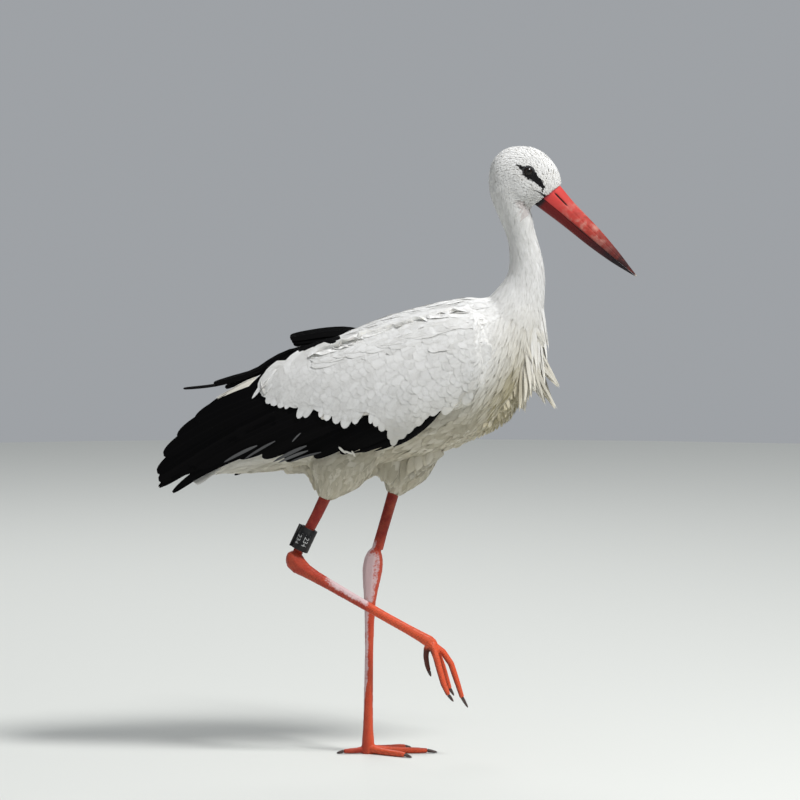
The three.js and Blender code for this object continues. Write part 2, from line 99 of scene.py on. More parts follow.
room = bpy.data.worlds.new("room")
room.use_nodes = True
room.node_tree.nodes["Background"].inputs["Color"].default_value = (0.86, 0.9, 0.95, 1)
room.node_tree.nodes["Background"].inputs["Strength"].default_value = 0.4
bpy.context.scene.world = room
bpy.context.scene.view_settings.view_transform = "Standard"

FLOOR_RADIUS = 4.0
turn = np.linspace(0, 2 * np.pi, 96, endpoint=False)
floor_mesh = bpy.data.meshes.new("floor")
rim = np.stack([FLOOR_RADIUS * np.cos(turn), FLOOR_RADIUS * np.sin(turn), 0 * turn], 1)
floor_mesh.from_pydata(rim.tolist(), [], [list(range(len(turn)))])
floor = bpy.data.objects.new("floor", floor_mesh)
bpy.context.scene.collection.objects.link(floor)
floor_paint = bpy.data.materials.new("floor_paint")
floor_paint.use_nodes = True
floor_paint.node_tree.nodes["Principled BSDF"].inputs["Base Color"].default_value = (0.62, 0.63, 0.6, 1)
floor_paint.node_tree.nodes["Principled BSDF"].inputs["Roughness"].default_value = 0.9
floor_mesh.materials.append(floor_paint)
print("floor and lamps stand")

# %% [markdown]
# ## Surfaces from arrays
# Every new piece is a grid of points worked out at once with numpy. A few helpers turn such grids into
# meshes: one writes points, faces and per-point values, one closes a stack of rings into a tube with capped
# ends, and one smooths a short table of given rows into as many as a surface needs.

# %% Helpers for surfaces
def smooth_rows(rows, count):
    """Rows of numbers made into count rows on smooth curves.

    Catmull-Rom: between two rows the curve is a cubic whose slope at each is half the step between its
    neighbours, so it passes through every row.
    """
    rows = np.asarray(rows, float)
    last = len(rows) - 1
    place = np.linspace(0, last, count)
    k = np.minimum(place.astype(int), last - 1)
    t = (place - k)[:, None]
    a, b, c, d = (rows[np.clip(k + step, 0, last)] for step in (-1, 0, 1, 2))
    slope_in, slope_out = (c - a) / 2, (d - b) / 2
    cubic = 2 * b - 2 * c + slope_in + slope_out
    square = 3 * c - 3 * b - 2 * slope_in - slope_out
    return ((cubic * t + square) * t + slope_in) * t + b


def ease(value, low, high):
    """0 under low, 1 over high, and a smooth S between: 3t^2 - 2t^3 of the share t."""
    t = np.clip((np.asarray(value, float) - low) / (high - low), 0, 1)
    return t * t * (3 - 2 * t)


def columns(*parts):
    """Numbers and arrays of one shape set side by side, as an array of rows."""
    return np.stack(np.broadcast_arrays(*parts), -1)


def unit(vectors):
    """Vectors made one long."""
    return vectors / np.maximum(np.linalg.norm(vectors, axis=-1, keepdims=True), 1e-12)


def read(items, key, size=1, kind=np.float32):
    """One property of all points, edges, faces or corners of a mesh, with size numbers for each."""
    numbers = np.empty(len(items) * size, kind)
    items.foreach_get(key, numbers)
    return numbers.reshape(-1, size) if size > 1 else numbers


def write(items, key, numbers):
    """Writes one property of all points, edges, faces or corners of a mesh."""
    items.foreach_set(key, np.asarray(numbers, np.float32).ravel())


def make_piece(name, points, face_sets, values=None):
    """A mesh object from an array of points and arrays of faces, with named values for each point."""
    mesh = bpy.data.meshes.new(name)
    corners = np.concatenate([faces.ravel() for faces in face_sets]).astype(np.int32)
    sizes = np.concatenate([np.full(len(faces), faces.shape[1]) for faces in face_sets])
    mesh.vertices.add(len(points))
    write(mesh.vertices, "co", points)
    mesh.loops.add(len(corners))
    mesh.loops.foreach_set("vertex_index", corners)
    mesh.polygons.add(len(sizes))
    mesh.polygons.foreach_set("loop_start", (np.cumsum(sizes) - sizes).astype(np.int32))
    mesh.update(calc_edges=True)
    mesh.polygons.foreach_set("use_smooth", np.ones(len(sizes), bool))
    for key, array in (values or {}).items():
        kind = "FLOAT" if array.ndim == 1 else "FLOAT_VECTOR"
        write(mesh.attributes.new(key, kind, "POINT").data, "value" if kind == "FLOAT" else "vector", array)
    piece = bpy.data.objects.new(name, mesh)
    bpy.context.scene.collection.objects.link(piece)
    return piece


def ring_faces(rings, sides):
    """Quads between neighbouring rings of one tube, and fans from its two end points to its end rings."""
    grid = np.arange(rings * sides).reshape(rings, sides)
    ahead = np.roll(grid, -1, 1)
    quads = np.stack([grid[:-1], ahead[:-1], ahead[1:], grid[1:]], -1).reshape(-1, 4)
    start, end = rings * sides, rings * sides + 1
    first = np.stack([np.full(sides, start), ahead[0], grid[0]], -1)
    last = np.stack([np.full(sides, end), grid[-1], ahead[-1]], -1)
    return quads, np.concatenate([first, last])


def band_faces(rings, sides):
    """Quads of a closed band: its rings and its sides both run round and meet again."""
    grid = np.arange(rings * sides).reshape(rings, sides)
    over, ahead = np.roll(grid, -1, 0), np.roll(grid, -1, 1)
    return np.stack([grid, ahead, np.roll(over, -1, 1), over], -1).reshape(-1, 4)


def loft(name, rings, values=None):
    """A closed tube from an array of rings (ring, side, xyz), with an end point in the middle of each end."""
    count, sides, _ = rings.shape
    points = np.concatenate([rings.reshape(-1, 3), rings[:1].mean(1), rings[-1:].mean(1)])
    quads, fans = ring_faces(count, sides)
    a, b, c = (points[quads[:, k]] for k in (0, 1, 2))
    if np.einsum("ij,ij->i", a, np.cross(b, c)).sum() < 0:
        quads, fans = quads[:, ::-1], fans[:, ::-1]
    return make_piece(name, points, [quads, fans], values)


def dress(piece, slot, *nodes):
    """Hangs a piece on the bird and hides the solids that it stands for; slot is not used."""
    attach(piece, "root")
    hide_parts(*nodes)
    faces = sum(len(p.vertices) - 2 for p in piece.data.polygons)
    print(f"{piece.name}: {faces} triangles")


print("surface helpers ready")

# %% [markdown]
# ## The skin
# Under its feathers a stork has one skin from the bill to the claws. The solids of its flesh are separate
# and faceted, so copies of them are swelled until they meet, melted into one surface by a voxel remesh, and
# smoothed. That surface is where the coat's tips lie. Drawn inwards by the coat's depth, which is small on
# the head and large on the breast and belly, it becomes the skin itself.

# %% Melt the flesh into one form
COATED = ["head", "neck_upper", "neck_lower", "trunk", "wing_left_coverts", "wing_right_coverts",
          "thigh_left", "thigh_right", "eye_left", "eye_right"]
SIDES = {"left": 1, "right": -1}
TOES = ["middle", "outer", "inner", "hind"]
BARE = [f"{part}_{side}" for side in SIDES for part in ("shank", "tarsus")]
BARE += [f"toe_{side}_{toe}" for side in SIDES for toe in TOES]


def melt(name, nodes, swell, voxel, rounds, close=0.0):
    """One smooth mesh object round copies of CAD nodes: each copy is swelled, then all are remeshed.

    A ball of radius close then rolls over it, and grooves too narrow for the ball are filled: see rolled.
    """
    joined = bmesh.new()
    for node in nodes:
        part = bmesh.new()
        part.from_mesh(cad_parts[node].data)
        bmesh.ops.remove_doubles(part, verts=part.verts, dist=1e-6)
        part.normal_update()
        for vertex in part.verts:
            vertex.co += swell * vertex.normal
        copy = bpy.data.meshes.new("copy")
        part.to_mesh(copy)
        joined.from_mesh(copy)
        part.free()
        bpy.data.meshes.remove(copy)
    mesh = bpy.data.meshes.new(name)
    joined.to_mesh(mesh)
    joined.free()
    piece = bpy.data.objects.new(name, mesh)
    bpy.context.scene.collection.objects.link(piece)
    remesh = piece.modifiers.new("melt", "REMESH")
    remesh.mode, remesh.voxel_size = "VOXEL", voxel
    smoothing = piece.modifiers.new("smooth", "SMOOTH")
    smoothing.factor, smoothing.iterations = 0.5, rounds
    graph = bpy.context.evaluated_depsgraph_get()
    result = bpy.data.meshes.new_from_object(piece.evaluated_get(graph))
    piece.modifiers.clear()
    piece.data = result
    bpy.data.meshes.remove(mesh)
    if close:
        tree = BVHTree.FromObject(piece, bpy.context.evaluated_depsgraph_get())
        write(result.vertices, "co", rolled(*points_of(result), tree, close))
        result.update()
    return piece


def rolled(points, normals, tree, ball):
    """Points lifted out of grooves onto the surface on which a ball can roll.

    A ball that rests on p has its centre at c = p + ball n. Where another face is nearer to c than ball, p
    rises along n by the difference, and the test is made again. It never rises past the middle of a gap.
    """
    free = 9 * ball
    room = np.array([tree.ray_cast(Vector(point + 0.3 * MM * normal), Vector(normal), 3 * ball)[3] or free
                     for point, normal in zip(points, normals)])
    highest = np.minimum(0.45 * room, 1.2 * ball)
    rise = np.zeros(len(points))
    for _ in range(6):
        centres = points + (rise + ball)[:, None] * normals
        gaps = np.array([tree.find_nearest(Vector(centre))[3] for centre in centres])
        rise = np.minimum(rise + np.maximum(ball - 0.15 * MM - gaps, 0), highest)
    return points + rise[:, None] * normals


def points_of(mesh):
    """A mesh's points and their normals as two arrays."""
    return tuple(read(mesh.vertices, key, 3).astype(float) for key in ("co", "normal"))


form = melt("form", COATED, 0.4 * MM, 3.2 * MM, 9, close=4.5 * MM)
form_points, form_normals = points_of(form.data)
form_faces = read(form.data.polygons, "vertices", 4, np.int32)
form_tree = BVHTree.FromObject(form, bpy.context.evaluated_depsgraph_get())
print("form:", len(form_points), "points")

# %% [markdown]
# ## A line through the bird
# The lie of the coat follows one line from the bill through the head, the neck and the trunk to the tail:
# feathers point down that line, and on the face away from the bill. The same line unrolls the skin for the
# baked picture of its colours: how far along it a root lies, and at which angle round it, are the root's
# two coordinates, so that neighbours on the skin stay neighbours on the map.

# %% The spine and what it gives
SPINE = np.array([(252, 772), (232, 797), (208, 800), (196, 778), (202, 748), (212, 715), (218, 682),
                  (216, 650), (204, 612), (172, 578), (120, 556), (40, 524), (-40, 500), (-120, 470),
                  (-200, 432), (-300, 372)]) * MM
spine = smooth_rows(SPINE, 240)
spine_step = unit(np.gradient(spine, axis=0))
spine_length = np.concatenate([[0], np.cumsum(np.linalg.norm(np.diff(spine, axis=0), axis=1))])
BILL_ROOT = np.array([0.247, 0.0, 0.776])
BILL_AXIS = np.array([0.596, 0, -0.803])


def along_spine(points):
    """For each point, the place on the spine nearest to it in side view: its row in the spine's arrays."""
    flat = points[:, None, [0, 2]] - spine[None]
    return np.einsum("ijk,ijk->ij", flat, flat).argmin(1)


def bake_map(points):
    """Where a point of the skin lies on the unrolled skin: share of the spine, angle round it."""
    row = along_spine(points)
    offset = points[:, [0, 2]] - spine[row]
    height = offset[:, 0] * spine_step[row, 1] - offset[:, 1] * spine_step[row, 0]
    angle = np.arctan2(points[:, 1], height) / (2 * np.pi) + 0.5
    return 0.02 + 0.96 * columns(spine_length[row] / spine_length[-1], angle)


def lie_of_coat(points):
    """The direction in which feathers point: down the spine, and on the face away from the bill's root."""
    step = spine_step[along_spine(points)]
    down_line = columns(step[:, 0], 0, step[:, 1])
    from_bill = points - BILL_ROOT
    reach = np.linalg.norm(from_bill, axis=1, keepdims=True)
    face = 1 - ease(reach, 35 * MM, 75 * MM)
    return face * from_bill / np.maximum(reach, 1e-6) + (1 - face) * down_line


print("spine:", round(spine_length[-1], 3), "m")

# %% [markdown]
# ## Markings
# The white stork's white isn't even: the breast, belly and thighs are cream, and dust and fat tint the
# shoulders. The cream is also painted shade: it is deepest low under the body and on the breast, which lie in
# shade. A black patch of bare skin and bristles rings the eye and runs as a streak to the gape, and where the
# throat's feathers part a darker rose is painted, as shade in that gap over the rosy skin. Skin and coat must
# agree, so one function works out both from places on the bird: for a feather at its root.

# %% Cream, painted shade and black
EYE = np.array([220.4, 0, 810.5]) * MM
# Strokes in side view: x, z and half width at each point
PATCH = [(200.5, 822.5, 0.3), (206.5, 817.8, 1.5), (213, 813.6, 4.2), (220.4, 810, 8), (229, 802, 5),
         (235.5, 795.5, 4), (239.3, 790, 2.4), (239.8, 786, 0.8), (238.5, 781, 0.5)]
GAPE_STREAK = [(236, 781.6, 0.4), (239, 779.6, 1), (242, 777, 1.8)]
CHIN = [(239.5, 774, 1.2), (240.5, 768, 2.6), (236, 764.5, 1.6)]
# Where the throat's feathers part: the darker rose painted there is painted shade of the gap, over rosy skin
THROAT_GAP = [(205, 768, 3), (212, 760, 6), (214, 748, 3)]


def near_line(points, stroke):
    """1 inside a stroke drawn in side view along a line of points with a half width at each, else 0."""
    stroke = smooth_rows(np.array(stroke) * MM, 60)
    flat = points[:, None, [0, 2]] - stroke[None, :, :2]
    inside = np.linalg.norm(flat, axis=2) / stroke[None, :, 2]
    return 1 - ease(inside.min(1), 0.8, 1.25)


def black_mark(points):
    """How black the face is at each point: the eye's patch with its streak, the gape's line and the chin."""
    return np.max([near_line(points, stroke) for stroke in (PATCH, GAPE_STREAK, CHIN)], axis=0)


def throat_gap_shade(points):
    """How much darker rose is painted where the throat's feathers part: painted shade of the gap, over the
    rosy skin there.
    """
    return 0.4 * near_line(points, THROAT_GAP)


def cream_and_under_shade(points):
    """How cream the coat is: most under the belly, on the breast and thighs, none on the head and back. It is
    partly real cream and partly painted shade of the shaded underside and breast.
    """
    under = 1 - ease(points[:, 2] - 0.30 * points[:, 0], 0.42, 0.50)
    breast = ease(points[:, 0], 0.14, 0.22) * (1 - ease(points[:, 2], 0.52, 0.66))
    return np.clip(0.8 * under + 0.75 * breast, 0, 1)


def coat_depth(points, normals):
    """How far the skin lies under the tips of the coat: thin on the head, deep on breast and belly.

    It is never more than 0.28 of the form's own thickness there, which is measured by a ray sent inwards.
    """
    low = ease(0.80 - points[:, 2], 0, 0.22)
    starts = points - 0.1 * MM * normals
    hits = [form_tree.ray_cast(Vector(start), Vector(-normal)) for start, normal in zip(starts, normals)]
    thickness = np.array([hit[3] if hit[3] is not None else 1.0 for hit in hits])
    return np.minimum((1.8 + 2.6 * low) * MM, 0.28 * thickness)


print("eye patch:", int((black_mark(form_points) > 0.5).sum()), "points of the form")

# %% [markdown]
# The bare legs are melted apart from the body with a voxel a third as wide, because a tarsus is as thin as a
# pencil. A stork's legs are covered in small plates: wide ones like a ladder down the front of the tarsus
# and over the toes, and a mosaic behind. The grooves between them are pressed into the skin itself.

# %% Legs and feet
legs = melt("legs", BARE, 0.35 * MM, 1.15 * MM, 9, close=2.0 * MM)
leg_points, leg_normals = points_of(legs.data)
ladder = np.abs(np.sin(np.pi * leg_points[:, 2] / (4.6 * MM)))
mosaic = np.abs(np.prod(np.sin(leg_points @ np.array([(900, 700, 650), (-650, 820, 900)]).T), axis=1))
front = ease(leg_normals[:, 0], 0.1, 0.6)
groove = front * (1 - ease(ladder, 0.0, 0.35)) + (1 - front) * (1 - ease(mosaic, 0.0, 0.3))
grooved = leg_points - 0.28 * MM * groove[:, None] * leg_normals
leg_faces = read(legs.data.polygons, "vertices", 4, np.int32)


def chalk_mark(points, normals):
    """Where droppings have dried on the legs: the lifted tarsus's upper side, the far ankle, and its rear."""
    x, y, z = (points / MM).T
    near = ease(x, -66, -44) * (1 - ease(x, -4, 5)) * ease(normals[:, 2] - 0.5 * normals[:, 0], -0.5, 0.5)
    ankle = ease(z, 196, 222) * (1 - ease(z, 268, 288)) * ease(-normals[:, 0], -0.9, 0.1)
    rear = ease(-normals[:, 0], 0.0, 0.5) * (1 - ease(z, 286, 300)) * ease(z, 12, 40)
    return np.where(y < 0, near * (np.abs(y + 34) < 20), np.maximum(ankle, 0.8 * rear))


def leg_light_and_shade(points):
    """Painted light and shade of the legs: 0 for the shanks, dark crimson as painted shade under the body,
    0.5 for the ankles and far leg, 1 for the near foot, painted bright where it is lit.
    """
    x, y, z = (points / MM).T
    low = 1 - ease(z, 268, 310)
    return low * np.where(y < 0, 0.42 + 0.58 * ease(x, -10, 12), 0.6)


def foot_shade_mask(points, normals):
    """Painted shade on the lifted foot: all over its short hind toe, which hangs in shade, and on the
    down-facing soles of the others.
    """
    x, y, z = (points / MM).T
    hind = ease(z, 104, 112) * (1 - ease(z, 146, 154)) * (1 - ease(x, 86, 92)) * ease(x, 64, 70)
    down = -0.85 * normals[:, 0] - 0.5 * normals[:, 2]
    sole = ease(down, 0.35, 0.8) * (1 - ease(z, 130, 150)) * ease(x, 88, 92)
    return (y < 0) * np.maximum(hind, 0.8 * sole)


print("legs:", len(leg_points), "points")

# %% [markdown]
# Body and legs are joined into one object, the skin. The ends of the shanks lie inside the thighs. Each point
# remembers its markings, and how groove-like it is, for the finish.

# %% One skin
body_points = form_points - coat_depth(form_points, form_normals)[:, None] * form_normals
no_body, no_legs = np.zeros(len(body_points)), np.zeros(len(grooved))
body_marks = {"black": black_mark(form_points), "cream": cream_and_under_shade(form_points),
              "rose": throat_gap_shade(form_points)}
leg_marks = {"bare": no_legs + 1, "groove": groove, "chalk": chalk_mark(leg_points, leg_normals),
             "warm": leg_light_and_shade(leg_points), "soil": foot_shade_mask(leg_points, leg_normals)}
skin_marks = {key: np.concatenate([mark, no_legs]) for key, mark in body_marks.items()}
skin_marks.update({key: np.concatenate([no_body, mark]) for key, mark in leg_marks.items()})
skin = make_piece("skin", np.concatenate([body_points, grooved]),
                  [np.concatenate([form_faces, leg_faces + len(body_points)])], skin_marks)
dress(skin, "leg_skin", *[node for node in COATED if "eye" not in node], *BARE)
bpy.data.objects.remove(legs)

# %% [markdown]
# ## One feather, many feathers
# A small feather here is a closed leaf with only a few dozen faces: a row of cross-sections along its shaft,
# each a flat diamond or wedge of a few points, closed by a point at the root and at the tip. Thousands of
# them are worked out together: the arrays hold every feather's shaft, and one formula gives all their
# leaves. Every point remembers how far across and along its feather it lies, for the barbs in the finish.

# %% Leaves on shafts
def stations_along(count):
    """Where the cross-sections lie along a shaft: 1 - (1 - t)^1.7, so that they crowd towards the tip."""
    return 1 - (1 - np.linspace(0, 1, count)) ** 1.7


def leaf_width(share, tip):
    """Half width of a feather along its shaft, as a share of its widest.

    It opens from the root as a sine, and closes towards the tip as (1 - t^tip)^(1.4 / tip), where t is the
    share of the last part of the shaft: 1.4 makes a pointed tip, 3 a round one and 5 a nearly square one.
    """
    opening = 0.35 + 0.65 * np.sin(0.5 * np.pi * np.clip(share / 0.35, 0, 1))
    closing = (1 - np.clip((share - 0.4) / 0.6, 0, 1) ** tip) ** (1.4 / tip)
    return opening * np.maximum(closing, 0.04)


# Cross-sections as (across, over) pairs: across from -1 to 1, over 1 at the top of the vane and 0 at its
# base.
WEDGE = np.array([(-1, 0.35), (0, 1), (1, 0.35)])
DIAMOND = np.array([(-1, 0.4), (0, 1), (1, 0.4), (0, 0)])
VANE = np.array([(-1, 0.3), (-0.5, 0.75), (-0.08, 0.95), (0, 1.35), (0.08, 0.95), (0.5, 0.75), (1, 0.3),
                 (0, 0)])


def make_feathers(name, sections, shares, across, seeds, roots, extra=None, facing=None, calm=0.0):
    """One mesh of many closed leaves.

    sections is (feather, station, point of the section, xyz). Each feather gets a point at either end, at
    the middle of its end sections, and quads and end triangles with the same pattern for all. facing is the
    direction that the coat faces at every station, and calm how far the shading is turned to it.
    """
    count, stations, sides, _ = sections.shape
    first, last = sections[:, 0].mean(1), sections[:, -1].mean(1)
    tip = last + (last - sections[:, -2].mean(1)) * 0.25
    points = np.concatenate([sections.reshape(count, -1, 3), first[:, None], tip[:, None]], 1)
    quads, fans = ring_faces(stations, sides)
    a, b, c = (points[0][quads[:, k]] - points[0][0] for k in (0, 1, 2))
    if np.einsum("ij,ij->i", a, np.cross(b, c)).sum() < 0:
        quads, fans = quads[:, ::-1], fans[:, ::-1]
    start = (np.arange(count) * (stations * sides + 2))[:, None, None]
    lie = np.zeros((count, stations * sides + 2, 3))
    lie[:, :-2, 0] = np.tile(across, stations)
    lie[:, :-2, 1] = np.repeat(shares, sides)
    lie[:, -1, 1] = 1
    lie[:, :, 2] = seeds[:, None]
    per_point = {"lie": lie.reshape(-1, 3)}
    for key, array in (extra or {}).items():
        whole = array if array.ndim == 2 else np.repeat(array[:, None], stations * sides + 2, 1)
        per_point[key] = whole.reshape(-1)
    face_sets = [(quads + start).reshape(-1, 4), (fans + start).reshape(-1, 3)]
    piece = make_piece(name, points.reshape(-1, 3), face_sets, per_point)
    sharpen_rims(piece, lie[..., 0].reshape(-1))
    if facing is not None:
        ends = np.concatenate([np.repeat(facing, sides, 1), facing[:, :1], facing[:, -1:]], 1)
        calm_shading(piece, ends.reshape(-1, 3), calm)
    lay_bake_map(piece, bake_map(roots), lie)
    return piece


def calm_shading(piece, facing, calm):
    """Turns the shading of every corner towards the way the whole coat faces, or away from it underneath.

    The new direction is calm * facing + (1 - calm) * own. Real barbs are soft and let the light through, so
    the layers of a coat melt together, where hard leaves would each catch the light by themselves.
    """
    mesh = piece.data
    own = read(mesh.corner_normals, "vector", 3)
    flat = np.repeat(read(mesh.polygon_normals, "vector", 3), read(mesh.polygons, "loop_total", 1, np.int32),
                     0)
    towards = facing[read(mesh.loops, "vertex_index", 1, np.int32)]
    under = np.einsum("ij,ij->i", flat, towards) < -0.3
    own = np.where(under[:, None], flat, own)
    mixed = calm * np.where(under, -1, 1)[:, None] * towards + (1 - calm) * own
    mesh.normals_split_custom_set(unit(mixed).astype(np.float32))


def sharpen_rims(piece, across):
    """Marks the two rims of every leaf as sharp, so that its flat top is shaded apart from its underside."""
    side = across[read(piece.data.edges, "vertices", 2, np.int32)]
    rim = (np.abs(side[:, 0]) == 1) & (side[:, 0] == side[:, 1])
    piece.data.attributes.new("sharp_edge", "BOOLEAN", "EDGE").data.foreach_set("value", rim)


TUFT_PATCH = 0.003


def lay_bake_map(piece, homes, lie):
    """The map OFBake: each feather is a small patch at its root's home, spread by its across and along."""
    write_map(piece, homes[:, None, :] + TUFT_PATCH * (lie[:, :, :2] * (0.5, 1) - (0, 0.5)))


def write_map(piece, places):
    """Writes the map OFBake, from one place on it for each point of the piece."""
    layers = piece.data.uv_layers
    layer = layers.get("OFBake") or layers.new(name="OFBake")
    write(layer.data, "uv", places.reshape(-1, 2)[read(piece.data.loops, "vertex_index", 1, np.int32)])


print("leaf helpers ready")


# %% [markdown]
# Body feathers grow from the form as they do on a bird: roots are scattered so that no two are nearer than
# a spacing, and each shaft then creeps over the surface, step by step, in the direction in which the coat
# lies. It starts under the coat and rises to its top, so later tips lie over earlier roots like roof tiles.

# %% Scatter and comb
face_normals = unit(form_normals[form_faces].mean(1))
triangle_corners = form_points[np.concatenate([form_faces[:, :3], form_faces[:, [0, 2, 3]]])]
edge_a = triangle_corners[:, 1] - triangle_corners[:, 0]
edge_b = triangle_corners[:, 2] - triangle_corners[:, 0]
triangle_area = np.linalg.norm(np.cross(edge_a, edge_b), axis=1) / 2


def scatter(where, spacing, seed):
    """Random points of the form where a test holds, thinned so that none are nearer than the spacing."""
    rng = np.random.default_rng(seed)
    inside = np.flatnonzero(where(triangle_corners.mean(1)))
    area = triangle_area[inside]
    count = int(area.sum() / spacing ** 2 * 4.5)
    chosen = inside[rng.choice(len(inside), count, p=area / area.sum())]
    mix = rng.random((count, 2))
    fold = mix.sum(1) > 1
    mix[fold] = 1 - mix[fold]
    points = triangle_corners[chosen, 0] + mix[:, :1] * edge_a[chosen] + mix[:, 1:] * edge_b[chosen]
    cells, kept = {}, []
    steps = list(itertools.product((-1, 0, 1), repeat=3))
    homes = np.floor(points / spacing).astype(int).tolist()
    for number, (point, cell) in enumerate(zip(points.tolist(), homes)):
        near = (cells.get((cell[0] + i, cell[1] + j, cell[2] + k)) for i, j, k in steps)
        if all(other is None or math.dist(point, other) > spacing for other in near):
            cells[tuple(cell)] = point
            kept.append(number)
    return points[kept]


def snap(points):
    """The nearest places on the form to an array of points, and its smooth normals there."""
    found = [form_tree.find_nearest(Vector(p)) for p in points.tolist()]
    return np.array([hit[0] for hit in found]), face_normals[[hit[2] for hit in found]]


def comb(roots, lie, length, stations, depth, rise, seed, wander=0.12, droop=0.0):
    """Shafts that creep over the form from their roots, and their normals.

    Each step goes one share of the length in the lie's direction laid flat on the surface, turned a little
    by a random amount, and is set back on the surface. Height goes from -depth at the root to rise at the
    tip, along an eased curve, and droop lets the free end fall by that length times the share squared.
    """
    rng = np.random.default_rng(seed)
    turn = rng.normal(0, wander, (len(roots), 1))
    shares = stations_along(stations)
    at, normal = snap(roots)
    shafts, normals = [], []
    for share, ahead in zip(shares, np.append(np.diff(shares), 0)):
        height = -depth + (depth + rise) * ease(share, -0.2, 1.0)
        shafts.append(at + normal * height - np.array((0, 0, droop * share ** 2)))
        normals.append(normal)
        flat = lie(at)
        flat = unit(flat - normal * np.einsum("ij,ij->i", flat, normal)[:, None])
        heading = unit(flat + turn * np.cross(normal, flat))
        at, normal = snap(at + heading * (length * ahead)[:, None])
    return np.stack(shafts, 1), np.stack(normals, 1)


def leaves_on(shafts, normals, half, thick, tip, section, curl=0.0):
    """Cross-sections set across combed shafts: their across runs sideways, their over along the normal."""
    share = stations_along(shafts.shape[1])
    along = unit(np.gradient(shafts, axis=1))
    sideways = unit(np.cross(normals, along))
    out = np.cross(along, sideways)
    width = half[:, None] * leaf_width(share, tip)[None]
    across, over = section[:, 0], section[:, 1]
    bend = -curl * across ** 2
    points = shafts[:, :, None] + sideways[:, :, None] * (width[:, :, None] * across)[..., None]
    lift = thick * over[None, None] + width[:, :, None] * bend[None, None]
    return points + out[:, :, None] * lift[..., None], share


def coat(name, slot, where, spacing, length, half, tip, seed, stations=5, depth=2.5 * MM, rise=0.8 * MM,
         lie=lie_of_coat, section=DIAMOND, thick=0.3 * MM, wander=0.12, droop=0.0, curl=0.05, calm=0.8,
         nodes=()):
    """One tract of the coat: scattered roots, combed shafts, leaves, markings and the bake's map."""
    rng = np.random.default_rng(seed + 1)
    roots = scatter(where, spacing, seed)
    size = rng.uniform(0.8, 1.15, len(roots))
    shafts, normals = comb(roots, lie, length * size, stations, depth, rise, seed + 2, wander, droop)
    sections, share = leaves_on(shafts, normals, half * size, thick, tip, section, curl)
    middle = shafts[:, stations // 2]
    marks = {"black": black_mark(middle), "cream": cream_and_under_shade(middle), "rose": throat_gap_shade(middle)}
    seeds = rng.random(len(roots))
    dress(make_feathers(name, sections, share, section[:, 0], seeds, roots, marks, normals, calm), slot,
          *nodes)


print("feather helpers ready")

# %% [markdown]
# ## Head and neck
# The head's feathers are the smallest, close and silky, and leave out the eye and the horn of the bill. Down
# the neck they become hair-like and longer, so that the neck looks brushed rather than scaled.

# %% Coat of head and neck
THROAT = (Vector((0.202, 0, 0.757)), 96)
NECK_FOOT = (Vector((0.206, 0, 0.622)), 62)


def over_cut(points, cut):
    """How far points lie over a slanting plane, given by one of its points and its normal's angle."""
    place, angle = cut
    normal = np.array([math.cos(math.radians(angle)), 0, math.sin(math.radians(angle))])
    return (points - np.array(place)) @ normal


def eye_gap(points):
    """Distance from the nearer eye's middle, in side view."""
    return np.linalg.norm(points[:, [0, 2]] - EYE[[0, 2]], axis=1)


def on_head(points):
    """The feathered head: over the throat, off the eye, and behind the root of the bill."""
    bill_side = (points - BILL_ROOT) @ BILL_AXIS
    return (over_cut(points, THROAT) > 0) & (eye_gap(points) > 7.6 * MM) & (bill_side < -0.5 * MM)


def on_face(points):
    """The part of the head with the finest feathers, round the eye and behind the bill."""
    to_bill = np.linalg.norm(points - BILL_ROOT, axis=1)
    return on_head(points) & ((eye_gap(points) < 17 * MM) | (to_bill < 34 * MM))


def on_neck(points):
    """The neck, from a little over the throat down to its foot on the trunk."""
    return (over_cut(points, THROAT) < 4 * MM) & (over_cut(points, NECK_FOOT) > 0) & (points[:, 0] > 0.12)


coat("coat_face", "white_feathers", on_face, 1.5 * MM, 4.6 * MM, 1.1 * MM, 2.2, 11, stations=4,
     depth=0.7 * MM, rise=0.15 * MM, section=WEDGE, thick=0.12 * MM, wander=0.08)
coat("coat_head", "white_feathers", lambda p: on_head(p) & ~on_face(p), 2.2 * MM, 9.5 * MM, 1.9 * MM, 2.2,
     14, stations=4, depth=1.1 * MM, rise=0.3 * MM, section=WEDGE, thick=0.18 * MM, wander=0.08)
coat("coat_neck", "white_feathers", on_neck, 2.9 * MM, 25 * MM, 2.7 * MM, 1.8, 21, stations=6,
     depth=1.0 * MM, rise=0.35 * MM, section=WEDGE, thick=0.12 * MM, wander=0.06, calm=0.93)

# %% [markdown]
# ## Breast, back, belly and thighs
# Long lance-shaped plumes hang from the foot of the neck and over the breast. Their free ends leave the body
# and end in loose points. Behind them the feathers of back and belly are broad and rounded, and those of the
# thighs hang down like a ragged skirt round the bare shanks.

# %% Coat of the trunk
WING_LOW = np.array([(-185, 425), (-145, 494), (-90, 472), (-20, 462), (20, 448), (36, 434), (60, 448),
                     (85, 470), (130, 490), (160, 520)]) * MM
WING_HIGH = np.array([(-185, 470), (-145, 512), (-95, 538), (-50, 556), (0, 572), (55, 586), (100, 594),
                      (160, 570)]) * MM


def under_wing(points):
    """True where a folded wing hides the flank, with a margin inside the wing's outline."""
    low = np.interp(points[:, 0], WING_LOW[:, 0], WING_LOW[:, 1])
    high = np.interp(points[:, 0], WING_HIGH[:, 0], WING_HIGH[:, 1])
    inside_x = (points[:, 0] > WING_LOW[0, 0]) & (points[:, 0] < WING_LOW[-1, 0])
    return inside_x & (points[:, 2] > low) & (points[:, 2] < high) & (np.abs(points[:, 1]) > 0.03)


